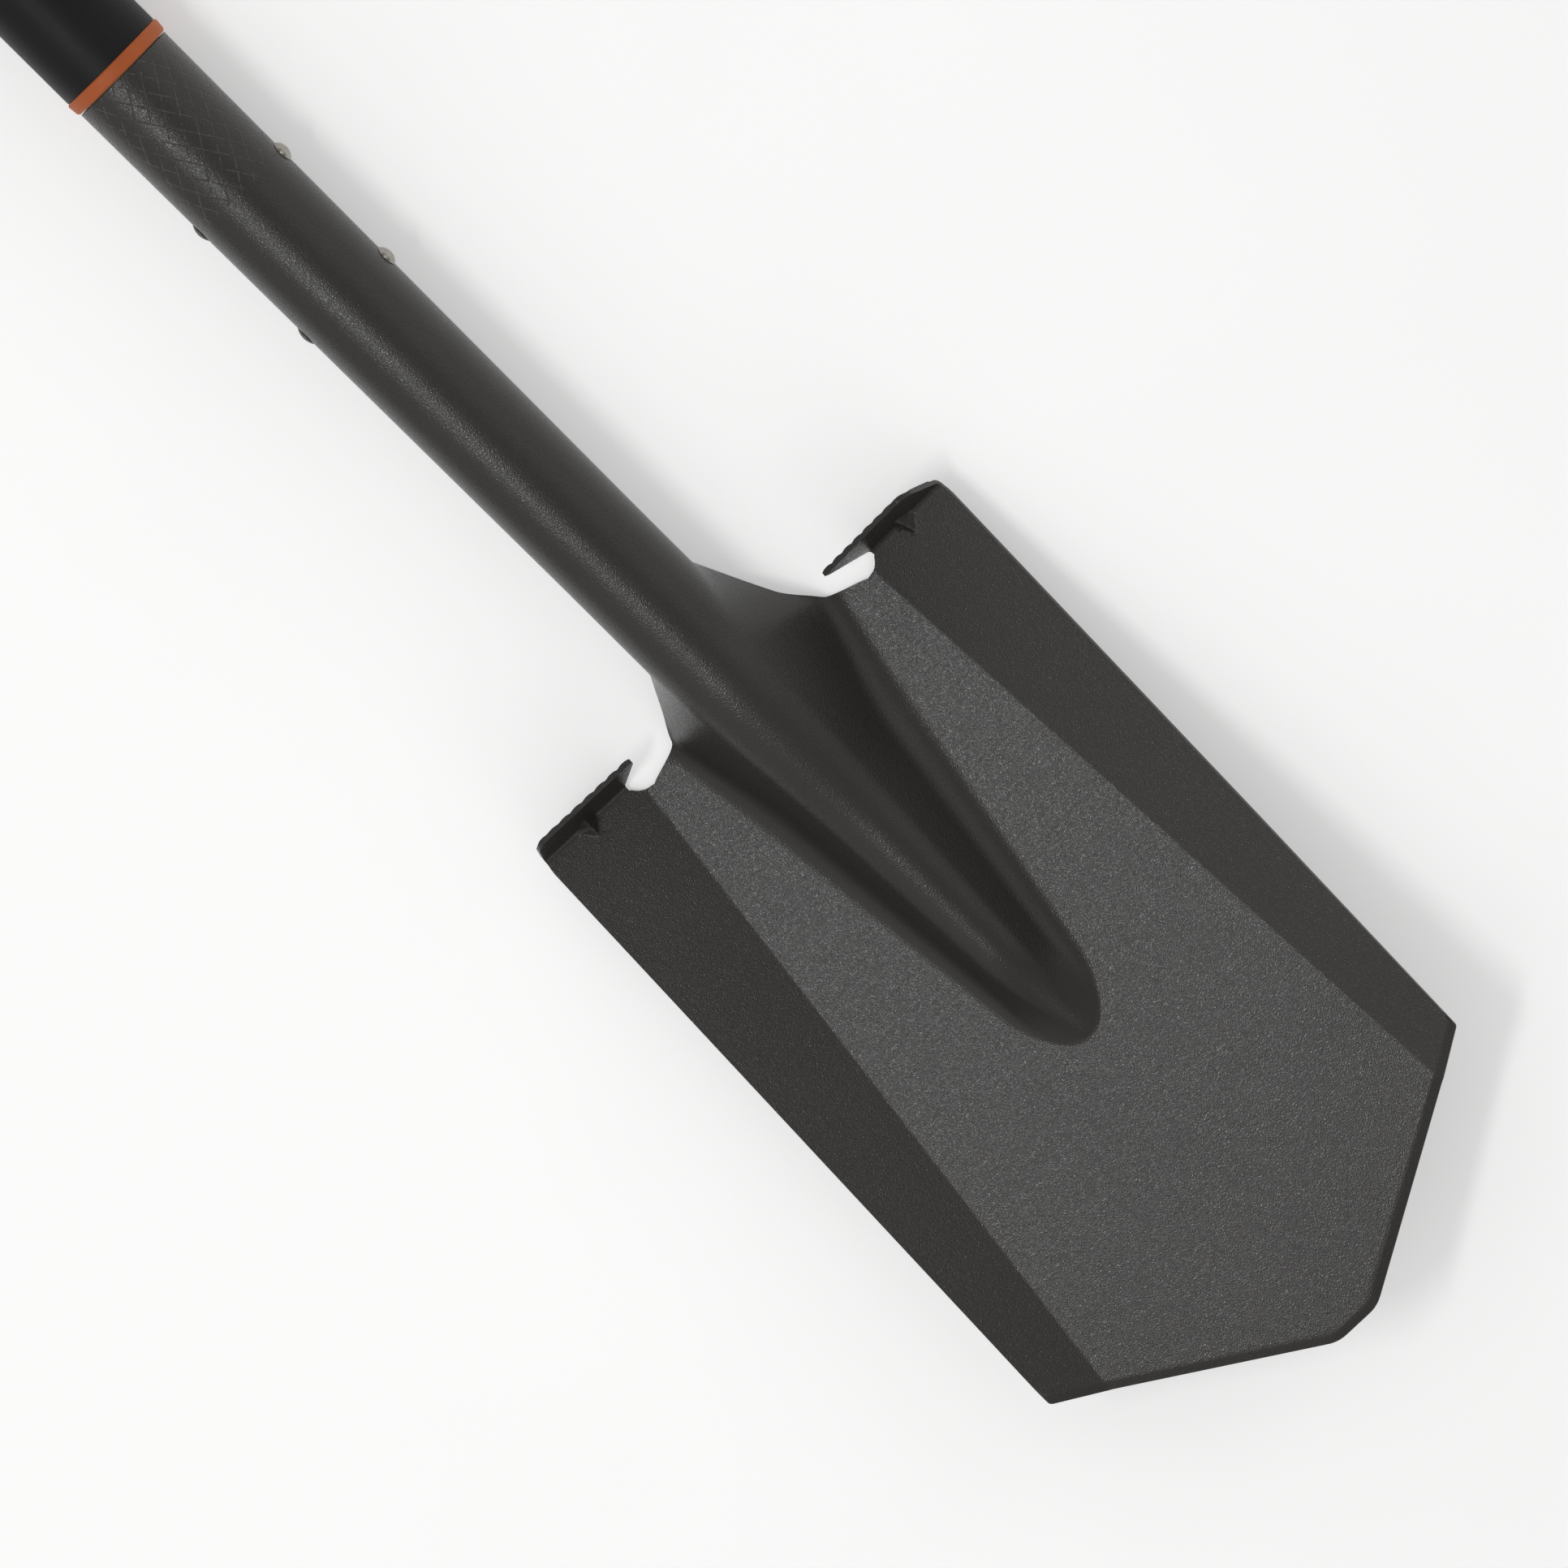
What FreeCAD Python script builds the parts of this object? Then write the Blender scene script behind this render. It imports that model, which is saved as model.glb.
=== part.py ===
import FreeCAD, Part
import math
import os

# A long-handled pointed digging shovel, lying on its back with its front face up.
# +X is to the digger's right, +Y runs from the tip to the grip, +Z is the side the blade faces.
# While it is built, the shaft's centre line is the Y axis and y = 0 is the tread line;
# settle_on_floor() moves everything to the row's origin at the end. Lengths are in mm.

# --- blade and socket, one pressed sheet ---------------------------------------------
SHEET = 1.6                 # thickness of the pressed sheet
LIFT = 8.6                  # degrees the blade toes up from the shaft's line
HEEL_DROP = 24.6            # the flat of the blade below the shaft's centre line at the tread
BLADE_LENGTH = 313.9        # tread line to tip, along the blade
BLADE_HALF_WIDTH = 100.0
BLADE_SPREAD = 1.1          # the blade is this much wider on each side at its lower corners
LOWER_CORNER = 260.9        # tread line to the lower corners
POINT_RADIUS = 14.0         # the softened corners beside the tip
POINT_FLAT = 9.5            # half the width of the blunt point, before its corners are rounded
CORNER_RADIUS = 3.0
FOLD_TOP = 56.8             # half the flat panel's width at the tread line
FOLD_SPREAD = 0.094         # how fast the fold lines part on the way down
FOLD_RADIUS = 5.0
WING_ANGLE = 15.0           # degrees the side wings are turned up
SOCKET_TOP = 303.0          # mouth of the socket above the tread line
SOCKET_RADIUS = 20.5        # outside, at the mouth
NECK_RADIUS = 19.2          # outside, where the tube starts to open
NECK_Y = 68.0               # the tube is a full round above this line
SEAM_GAP = 1.2              # between the two edges of the rolled sheet, at the back
OPENING_BEND = 1.78         # how early the tube's round opens on the way to the tread line
OPENING_RUN = 0.85          # how early its sides run out straight
LIP_START = 0.8             # share of the way down where the free edges start to turn out
LIP_CURL = 18.5             # degrees they have turned out at the tread line
FAINT_CURL = 0.4            # degrees, too little to see, where they haven't started

# --- the ridge that carries the socket's line down the blade ---------------------------
RIDGE_CREST = NECK_RADIUS   # radius of its crest at the tread line, carried on from the tube
RIDGE_FILLET = 11.0         # radius at its foot there
RIDGE_HALF_WIDTH = 45.0
RIDGE_TAPER = 0.161         # narrowing of each side per mm
RIDGE_DIP = 5.5             # the crest settles this far below the tube's line
RIDGE_DIP_END = 75.0        # and is settled this far below the tread line
RIDGE_FOOT_GROWTH = 0.6     # share by which the foot's radius opens out
RIDGE_FOOT_END = 50.0       # and how far below the tread line it is open
RIDGE_RUN = 130.0           # the crest drops away from here
RIDGE_SIDES = 150.0         # and its sides curve in from here
RIDGE_END = 176.5
RIDGE_BLUNTNESS = 0.96      # 1 would close the end to nothing
FAINT = 0.02                # a height or run too small to see, where a profile has none

# --- where the pressing's sections stand, and how far its blanks run past its outline -------
SOCKET_STATIONS = (SOCKET_TOP, 230.0, 150.0, NECK_Y)
NECK_STATIONS = (NECK_Y, 60.0, 52.0, 44.0, 36.0, 27.0, 18.0, 9.0, 0.0)
RIDGE_STATIONS = (0.0, 15.0, 30.0, 45.0, 60.0, 75.0, 100.0, RIDGE_RUN)
DOME_STATIONS = (RIDGE_RUN, 137.0, 144.0, RIDGE_SIDES, 155.0, 160.0, 164.5, 168.5, 171.5, 174.0, 175.5, RIDGE_END)
SPARE_WIDTH = 8.0
SPARE_LENGTH = 15.0
PRISM = 120.0               # height of the prism that cuts the blade's outline
BOX_TOLERANCE = 0.02        # how closely the whole part's box is measured

# --- notches and treads -----------------------------------------------------------------
NOTCH_START = (31.0, -9.0)  # (x, distance below the tread line) on the neck's side
NOTCH_INNER = (40.0, 1.9)   # a spot on its long inner curve
NOTCH_BOTTOM = (54.0, 6.3)
NOTCH_WALL = (60.0, 4.4)    # a spot on its short outer curve
NOTCH_OUTER = 62.0
TAB_TOP = -0.2              # the wing's sheet runs this far past the tread line, into the tread
TREAD_HEIGHT = 22.0
TREAD_LEAN = 8.8           # degrees from upright, towards the grip
TREAD_OVERHANG = 8.0        # the free edge reaches this far inward past the fold
TREAD_CORNER = 6.0
TREAD_INSET = 0.5           # its outer end starts this far in from the wing edge
TREAD_TAPER = 0.08          # and comes further in by this much per mm of height
TREAD_TIP = 3.0             # the inward end is this high before it slants back to the fold
TREAD_FOOT = ((0.5, 2.0), (0.0, 1.0))  # (inward, height) of the slant's last steps
TREAD_CORNER_CUT = 0.3      # share of the corner's size that each of its two cuts stands off
RIB_PITCH = 5.6
RIB_WIDTH = 5.0
RIB_HEIGHT = 0.5
RIB_FOOT = 4.0              # the ribs start this far above the fold
RIB_START = 0.6             # the first rib's middle, in pitches from the tread's inward end

# --- rivets ------------------------------------------------------------------------------
RIVET_LINES = {"rivet_upper": 244.8, "rivet_lower": 193.5}
RIVET_SHANK = 3.0
RIVET_HEAD_RADIUS = 4.2
RIVET_HEAD = 2.3
RIVET_TAIL_RADIUS = 4.3
RIVET_TAIL = 1.4
RIVET_ROOT = 1.4            # how far head and tail reach in to meet the round socket
RIVET_SEAT = 0.06           # clears the taper of the socket under head and tail
RIVET_TURN = 7.0            # degrees the rivets are turned about the shaft, domed heads backward
RIVET_OVERLAP = 0.5         # the shank runs this far into head and tail
CLEARANCE = 0.05            # radial gap round a rivet's or the grip rod's plain shank
TOOL_REACH = 30.0           # half the length of the tools that cut through the shaft

# --- shaft --------------------------------------------------------------------------------
FIT = 0.15                  # radial gap of a slip fit
CORE_RADIUS = 17.6          # slips into the narrow end of the socket
CORE_BORE = 13.5
CORE_BOTTOM = 96.0
SLEEVE_RADIUS = 21.0
RING_WIDTH = 5.3
RING_GAP = 0.5
RING_RADIUS = 21.6
RING_TAPER = 0.35
RING_CHAMFER = 0.7
SLEEVE_GAP = 0.2            # between the ring and the sleeve
SLEEVE_TOP = 580.0
PLUG_GAP = 0.1              # radial, between a plug and the core
PLUG_INSET = 4.0            # the lower plug starts this far inside the core
PLUG_REACH = 110.0          # and runs this far above the lower rivet
PLUG_BELOW = 12.0           # the upper plug starts this far below the yoke
PLUG_TOP = 8.0              # and ends this far below the ferrule's top
CORE_TOP = 6.0              # as the core ends this far below it

# --- hand grip ----------------------------------------------------------------------------
YOKE_START = SLEEVE_TOP + 0.5
FERRULE_LENGTH = 58.0
FERRULE_RADIUS = 23.5
YOKE_THICK = 28.0
YOKE_EDGE = 6.0             # rounding of the arms' long edges
EYE_RADIUS = 16.0
EYE_X = 62.0                # outer faces of the yoke
EYE_WIDE = 14.0
CROTCH_Y = 652.0
BAR_Y = 726.0
HAND_DEPTH = 18.0           # the hand opening is straight-sided this far below the bar's line
BAR_RADIUS = 13.0
CUSHION_RADIUS = 17.0
ROD_RADIUS = 4.0
CAP_RADIUS = 9.0
CAP_THICK = 2.4
CAP_CHAMFER = 0.8
CAP_SEAT = 1.2              # the caps sit this far inside the eyes' outer faces
EYE_RECESS = 5.0            # depth of the round recess in each eye
EYE_ROUND = 2.0
FERRULE_CHAMFER = 1.5
FERRULE_TAPER = 12.0        # length of the cone from the ferrule to the arms
FERRULE_STOP = 5.0          # the shaft's bore ends this far below the ferrule's top
THROAT_RADIUS = 15.0        # of the cone where it meets the arms
THROAT_INSET = 2.0          # and it ends this far below the hand opening
ARM_FOOT = 26.0             # the arms grow out of the ferrule this far up it
ARM_LINE = ((21.5, YOKE_START + ARM_FOOT), (26.5, YOKE_START + 48.0),
            (43.5, CROTCH_Y + 8.0), (59.0, CROTCH_Y + 32.0))  # (x, y) along an arm's outer edge
BAR_GAP = 0.2               # between the bar and each arm
CUSHION_GAP = 1.0           # between the cushion and each arm
CUSHION_CHAMFER = 2.0
WASHER_RADIUS = 8.0
WASHER_THICK = 1.2
NUT_GAP = 0.1
NUT_CORNER = 6.9            # from the middle to a corner
NUT_THICK = 2.2
SCREW_LINES = (YOKE_START + 16.0, YOKE_START + 40.0)
SCREW_RADIUS = 2.0
SCREW_TIP = -4.0            # height at which the screws end, inside the shaft
SCREW_SINK = 2.4            # their heads' seats are this deep in the ferrule
SCREW_HEAD_RADIUS = 3.9
SCREW_HEAD = 2.2
SCREW_HEAD_GAP = 0.2
CROSS_LENGTH = 5.0
CROSS_WIDTH = 1.0
CROSS_DEPTH = 1.1

FERRULE_TOP = YOKE_START + FERRULE_LENGTH
EYE_INSIDE = EYE_X - EYE_WIDE
LIFT_RAD = math.radians(LIFT)
WING_RAD = math.radians(WING_ANGLE)
X_AXIS = FreeCAD.Vector(1, 0, 0)
Y_AXIS = FreeCAD.Vector(0, 1, 0)
Z_AXIS = FreeCAD.Vector(0, 0, 1)
BLADE_NORMAL = FreeCAD.Vector(0, math.sin(LIFT_RAD), math.cos(LIFT_RAD))
BLADE_DOWN = FreeCAD.Vector(0, -math.cos(LIFT_RAD), math.sin(LIFT_RAD))
HEEL = FreeCAD.Vector(0, 0, -HEEL_DROP)


def blend(low, high, share):
    """Goes from low to high as share goes from 0 to 1, level at both ends."""
    share = min(max(share, 0.0), 1.0)
    return low + (high - low) * share * share * (3.0 - 2.0 * share)


def socket_radius(y):
    """Outside radius of the tapering tube at a height above the tread line."""
    share = min(max((y - NECK_Y) / (SOCKET_TOP - NECK_Y), 0.0), 1.0)
    return NECK_RADIUS + (SOCKET_RADIUS - NECK_RADIUS) * share


class Outline:
    """Half a profile, traced outward from the middle by arcs and straight runs."""

    def __init__(self, height, start=0.0):
        self.x = start
        self.z = height
        self.angle = 0.0
        self.pieces = []

    def point(self, depth=0.0):
        return (self.x - depth * math.sin(self.angle), self.z - depth * math.cos(self.angle))

    def run(self, length):
        start = [self.point(depth) for depth in (0.0, SHEET)]
        self.x += length * math.cos(self.angle)
        self.z -= length * math.sin(self.angle)
        ends = [self.point(depth) for depth in (0.0, SHEET)]
        self.pieces.append((start, None, ends))

    def turn(self, radius, angle):
        """Bends by angle, in radians; a positive angle bends down, a negative one up."""
        side = math.copysign(radius, angle)
        centre = (self.x - side * math.sin(self.angle), self.z - side * math.cos(self.angle))
        start = [self.point(depth) for depth in (0.0, SHEET)]
        middle = []
        for step in (0.5, 1.0):
            heading = self.angle + angle * step
            middle.append([(centre[0] + (side - depth) * math.sin(heading),
                            centre[1] + (side - depth) * math.cos(heading)) for depth in (0.0, SHEET)])
        self.angle += angle
        self.x, self.z = middle[1][0]
        self.pieces.append((start, middle[0], middle[1]))

    def skin(self, place, side, layer, outward):
        """Edges of the front (layer 0) or back (layer 1) of the sheet on one side."""
        edges = []
        for start, middle, end in (self.pieces if outward else self.pieces[::-1]):
            first, last = (start, end) if outward else (end, start)
            a = place(side * first[layer][0], first[layer][1])
            b = place(side * last[layer][0], last[layer][1])
            if middle is None:
                edges.append(Part.LineSegment(a, b).toShape())
            else:
                m = place(side * middle[layer][0], middle[layer][1])
                edges.append(Part.Arc(a, m, b).toShape())
        return edges

    def across(self, place, side, pair, front_first):
        """The short edge through the sheet at one end of the profile."""
        first, last = pair if front_first else pair[::-1]
        return Part.LineSegment(place(side * first[0], first[1]), place(side * last[0], last[1])).toShape()

    def wire(self, place):
        """Closed wire of the whole sheet's section; place puts (x, z) into space."""
        ends = self.pieces[-1][2]
        edges = self.skin(place, 1, 0, True) + [self.across(place, 1, ends, True)]
        edges += self.skin(place, 1, 1, False) + self.skin(place, -1, 1, True)
        edges += [self.across(place, -1, ends, False)] + self.skin(place, -1, 0, False)
        return Part.Wire(edges)

    def side_wire(self, place, side):
        """Closed wire of one side only, for a profile that starts away from the middle."""
        edges = self.skin(place, side, 0, True) + [self.across(place, side, self.pieces[-1][2], True)]
        edges += self.skin(place, side, 1, False) + [self.across(place, side, self.pieces[0][0], False)]
        return Part.Wire(edges)


def flank(height, half_width, crest, fillet):
    """Slope angle and straight length between the crest's round and the foot's fillet."""
    rise = height - crest - fillet
    span = math.hypot(half_width, rise)
    length = math.sqrt(span ** 2 - (crest + fillet) ** 2)
    angle = math.atan2(rise, half_width) + math.asin((crest + fillet) / span)
    return angle, length


def ridge_height(v):
    """Crest above the flat: the socket's front line carried on and settling, then a rounded end."""
    straight = HEEL_DROP + NECK_RADIUS - v * math.tan(LIFT_RAD)
    straight /= math.cos(LIFT_RAD)
    straight -= blend(0.0, RIDGE_DIP, v / RIDGE_DIP_END)
    if v <= RIDGE_RUN:
        return straight
    share = min((v - RIDGE_RUN) / (RIDGE_END - RIDGE_RUN), 1.0)
    return max(straight * (1.0 - share ** 2.2) ** 1.2, FAINT)


def ridge_half_width(v):
    """Half the ridge's width: tapering sides, then a blunt rounded end."""
    share = min(max((v - RIDGE_SIDES) / (RIDGE_END - RIDGE_SIDES), 0.0), 1.0)
    return (RIDGE_HALF_WIDTH - RIDGE_TAPER * min(v, RIDGE_END)) * math.sqrt(1.0 - RIDGE_BLUNTNESS * share ** 2)


def fold_half_width(v):
    return FOLD_TOP + FOLD_SPREAD * v


def blade_place(v):
    origin = HEEL + BLADE_DOWN * v
    return lambda x, z: origin + X_AXIS * x + BLADE_NORMAL * z


def blade_section(v):
    """The blade's section square to its flat, v below the tread line."""
    height = ridge_height(v)
    half_width = ridge_half_width(v)
    narrowing = half_width / RIDGE_HALF_WIDTH
    crest = RIDGE_CREST * narrowing ** 0.9
    growth = 1.0 + blend(0.0, RIDGE_FOOT_GROWTH, v / RIDGE_FOOT_END)
    fillet = RIDGE_FILLET * growth * narrowing ** 0.7
    angle, length = flank(height, half_width, crest, fillet)
    outline = Outline(height)
    outline.turn(crest, angle)
    outline.run(length)
    outline.turn(fillet, -angle)
    outline.run(panel_edge(v) - half_width)
    add_wing(outline, v)
    return outline.wire(blade_place(v))


def panel_edge(v):
    """Where the flat panel ends and the fold's round begins."""
    return fold_half_width(v) - FOLD_RADIUS * math.tan(WING_RAD / 2)


def add_wing(outline, v):
    outline.turn(FOLD_RADIUS, -WING_RAD)
    outline.run((BLADE_HALF_WIDTH + SPARE_WIDTH - fold_half_width(v)) / math.cos(WING_RAD))


def wing_section(v, side):
    """One wing with its fold, where the panel beside it is plain and flat."""
    outline = Outline(0.0, panel_edge(v))
    add_wing(outline, v)
    return outline.side_wire(blade_place(v), side)


def lower_panel(top, bottom):
    """The truly flat panel below the ridge's end."""
    spots = [(panel_edge(top), top), (panel_edge(bottom), bottom),
             (-panel_edge(bottom), bottom), (-panel_edge(top), top)]
    corners = [HEEL + X_AXIS * x + BLADE_DOWN * v for x, v in spots]
    return Part.Face(Part.makePolygon(corners + [corners[0]])).extrude(BLADE_NORMAL * -SHEET)


def neck_section(y):
    """The sheet's section where it opens from the tube to the ridge, y above the tread line."""
    share = 1.0 - min(y / NECK_Y, 1.0)
    tilt = blend(0.0, LIFT_RAD, share)
    radius = socket_radius(y)
    foot_angle, foot_length = flank(ridge_height(0.0), RIDGE_HALF_WIDTH, RIDGE_CREST, RIDGE_FILLET)
    closed = math.pi - SEAM_GAP / 2 / radius
    opening = (1.0 - share) ** OPENING_BEND
    angle = foot_angle + (closed - foot_angle) * opening
    length = max(foot_length * (1.0 - (1.0 - share) ** OPENING_RUN), FAINT)
    curl = math.radians(blend(FAINT_CURL, LIP_CURL, (share - LIP_START) / (1.0 - LIP_START)))
    outline = Outline(radius)
    outline.turn(radius, angle)
    outline.run(length)
    outline.turn(RIDGE_FILLET, -curl)
    top_y = ridge_height(0.0) * math.sin(LIFT_RAD)
    crest_y = y + top_y * share
    up = FreeCAD.Vector(0, math.sin(tilt), math.cos(tilt))
    crest = FreeCAD.Vector(0, crest_y, radius)
    return outline.wire(lambda x, z: crest + X_AXIS * x + up * (z - radius))


def outline_edges(side):
    """One side of the blade's edge, from the neck to the blunt point, seen square to the flat."""
    def spot(x, v):
        return HEEL + X_AXIS * (side * x) + BLADE_DOWN * v

    neck_arc = Part.Arc(spot(*NOTCH_START), spot(*NOTCH_INNER), spot(*NOTCH_BOTTOM))
    outer_arc = Part.Arc(spot(*NOTCH_BOTTOM), spot(*NOTCH_WALL), spot(NOTCH_OUTER, 0.0))
    corners = [(NOTCH_OUTER, 0.0), (NOTCH_OUTER, TAB_TOP), (BLADE_HALF_WIDTH, TAB_TOP),
               (BLADE_HALF_WIDTH + BLADE_SPREAD, LOWER_CORNER), (POINT_FLAT, BLADE_LENGTH)]
    lines = [Part.LineSegment(spot(*a), spot(*b)) for a, b in zip(corners, corners[1:])]
    return [curve.toShape() for curve in [neck_arc, outer_arc] + lines]


def blade_outline():
    """The blade's plan as a tall prism: notches, sides, lower edges and blunt point."""
    right = outline_edges(1)
    left = outline_edges(-1)
    start_x, start_v = NOTCH_START
    top = Part.LineSegment(HEEL + X_AXIS * -start_x + BLADE_DOWN * start_v,
                           HEEL + X_AXIS * start_x + BLADE_DOWN * start_v).toShape()
    point = Part.LineSegment(HEEL + X_AXIS * POINT_FLAT + BLADE_DOWN * BLADE_LENGTH,
                             HEEL + X_AXIS * -POINT_FLAT + BLADE_DOWN * BLADE_LENGTH).toShape()
    face = Part.Face(Part.Wire(right + [point] + left[::-1] + [top]))
    prism = face.extrude(BLADE_NORMAL * PRISM)
    prism.translate(BLADE_NORMAL * (-PRISM / 3))
    for radius, corner in ((POINT_RADIUS, BLADE_LENGTH), (CORNER_RADIUS, LOWER_CORNER)):
        upright = [edge for edge in prism.Edges if abs(edge.Length - PRISM) < FAINT]
        chosen = [edge for edge in upright if abs((edge.CenterOfMass - HEEL).dot(BLADE_DOWN) - corner) < FAINT]
        prism = prism.makeFillet(radius, chosen)
    return prism


def tread(side):
    """The flange turned forward at the top of one wing, with ribs across its outer face."""
    lean = math.radians(TREAD_LEAN)
    along = FreeCAD.Vector(side * math.cos(WING_RAD), 0, 0) + BLADE_NORMAL * math.sin(WING_RAD)
    normal = FreeCAD.Vector(-side * math.sin(WING_RAD), 0, 0) + BLADE_NORMAL * math.cos(WING_RAD)
    up = normal * math.cos(lean) - BLADE_DOWN * math.sin(lean)
    across = BLADE_DOWN * math.cos(lean) + normal * math.sin(lean)
    fold = HEEL + X_AXIS * (side * fold_half_width(0.0))
    inner = (NOTCH_OUTER - FOLD_TOP) / math.cos(WING_RAD)
    outer = (BLADE_HALF_WIDTH - FOLD_TOP) / math.cos(WING_RAD) - TREAD_INSET
    high = outer - TREAD_TAPER * TREAD_HEIGHT
    top = TREAD_HEIGHT
    cut = TREAD_CORNER
    tip = inner - TREAD_OVERHANG
    off = cut * TREAD_CORNER_CUT
    spots = [(inner, -SHEET), (outer, -SHEET), (high, top - cut), (high - off, top - off),
             (high - cut, top), (tip, top), (tip, top - TREAD_TIP)]
    spots += [(inner - inward, height) for inward, height in TREAD_FOOT]
    corners = [fold + along * s + up * h for s, h in spots]
    face = Part.Face(Part.makePolygon(corners + [corners[0]]))
    plate = face.extrude(across * -SHEET)
    rib_limits = face.extrude(across * -(SHEET + RIB_HEIGHT))
    radius = ((RIB_WIDTH / 2) ** 2 + RIB_HEIGHT ** 2) / (2 * RIB_HEIGHT)
    ribs = []
    for index in range(int((high - cut - tip) // RIB_PITCH)):
        s = tip + RIB_PITCH * (index + RIB_START)
        centre = fold + along * s + up * RIB_FOOT + across * (radius - SHEET - RIB_HEIGHT)
        ribs.append(Part.makeCylinder(radius, top - RIB_FOOT, centre, up).common(rib_limits))
    return plate.multiFuse(ribs)


def rivet_holes():
    """The rivets' shanks, right through the shaft, as one cutting tool."""
    turn = math.radians(RIVET_TURN)
    way = FreeCAD.Vector(math.cos(turn), 0, -math.sin(turn))
    tools = []
    for y in RIVET_LINES.values():
        start = FreeCAD.Vector(0, y, 0) - way * TOOL_REACH
        tools.append(Part.makeCylinder(RIVET_SHANK + CLEARANCE, 2 * TOOL_REACH, start, way))
    return Part.makeCompound(tools)


def blade_head():
    """The one-piece head: socket, neck, ridge, flat panel, wings and treads."""
    socket = Part.makeLoft([neck_section(y) for y in SOCKET_STATIONS], True, True)
    neck = Part.makeLoft([neck_section(y) for y in NECK_STATIONS], True, False)
    ridge = Part.makeLoft([blade_section(v) for v in RIDGE_STATIONS], True, False)
    dome = Part.makeLoft([blade_section(v) for v in DOME_STATIONS], True, False)
    bottom = BLADE_LENGTH + SPARE_LENGTH
    wings = [Part.makeLoft([wing_section(v, side) for v in (RIDGE_END, bottom)], True, True) for side in (-1, 1)]
    pressing = ridge.multiFuse([dome, lower_panel(RIDGE_END, bottom)] + wings).common(blade_outline())
    head = pressing.multiFuse([socket, neck, tread(1), tread(-1)])
    head = head.cut(rivet_holes())
    return head.removeSplitter()


def rivet_cap(radius, rim, height, side):
    """A domed end of a rivet, seated on the round socket; side is 1 or -1 along X."""
    ball = (rim ** 2 + height ** 2) / (2 * height)
    sphere = Part.makeSphere(ball, FreeCAD.Vector(side * (radius + height - ball), 0, 0))
    base = FreeCAD.Vector(side * (radius - RIVET_ROOT), 0, 0)
    cap = Part.makeCylinder(rim, height + RIVET_ROOT, base, X_AXIS * side).common(sphere)
    return cap.cut(rod(radius + RIVET_SEAT, -TOOL_REACH, TOOL_REACH))


def rivet(y):
    """A through rivet: polished domed head on the right, flatter set end on the left."""
    radius = socket_radius(y)
    reach = radius + RIVET_OVERLAP
    shank = Part.makeCylinder(RIVET_SHANK, 2 * reach, FreeCAD.Vector(-reach, 0, 0), X_AXIS)
    whole = shank.multiFuse([rivet_cap(radius, RIVET_HEAD_RADIUS, RIVET_HEAD, 1),
                             rivet_cap(radius, RIVET_TAIL_RADIUS, RIVET_TAIL, -1)])
    whole.rotate(FreeCAD.Vector(0, 0, 0), Y_AXIS, RIVET_TURN)
    whole.translate(Y_AXIS * y)
    return whole


def turned(profile):
    """A solid of revolution about the shaft's line from (radius, y) corners."""
    corners = [FreeCAD.Vector(r, y, 0) for r, y in profile]
    face = Part.Face(Part.makePolygon(corners + [corners[0]]))
    return face.revolve(FreeCAD.Vector(0, 0, 0), Y_AXIS, 360)


def tube(outer, inner, low, high):
    return turned([(inner, low), (outer, low), (outer, high), (inner, high)])


def rod(radius, low, high):
    return Part.makeCylinder(radius, high - low, FreeCAD.Vector(0, low, 0), Y_AXIS)


def shaft_core():
    top = FERRULE_TOP - CORE_TOP
    core = tube(CORE_RADIUS, CORE_BORE, CORE_BOTTOM, top)
    return core.cut(rivet_holes()).cut(screw_shanks())


def lower_plug():
    high = RIVET_LINES["rivet_lower"] + PLUG_REACH
    return rod(CORE_BORE - PLUG_GAP, CORE_BOTTOM + PLUG_INSET, high).cut(rivet_holes())


def upper_plug():
    return rod(CORE_BORE - PLUG_GAP, YOKE_START - PLUG_BELOW, FERRULE_TOP - PLUG_TOP).cut(screw_shanks())


def collar_ring():
    low = SOCKET_TOP + RING_GAP
    high = low + RING_WIDTH
    lip = RING_CHAMFER
    bore = CORE_RADIUS + FIT
    return turned([(bore, low), (RING_RADIUS - RING_TAPER - lip, low), (RING_RADIUS - RING_TAPER, low + lip),
                   (RING_RADIUS, high - lip), (RING_RADIUS - lip, high), (bore, high)])


def shaft_sleeve():
    low = SOCKET_TOP + RING_GAP + RING_WIDTH + SLEEVE_GAP
    return tube(SLEEVE_RADIUS, CORE_RADIUS + FIT, low, SLEEVE_TOP)


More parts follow.
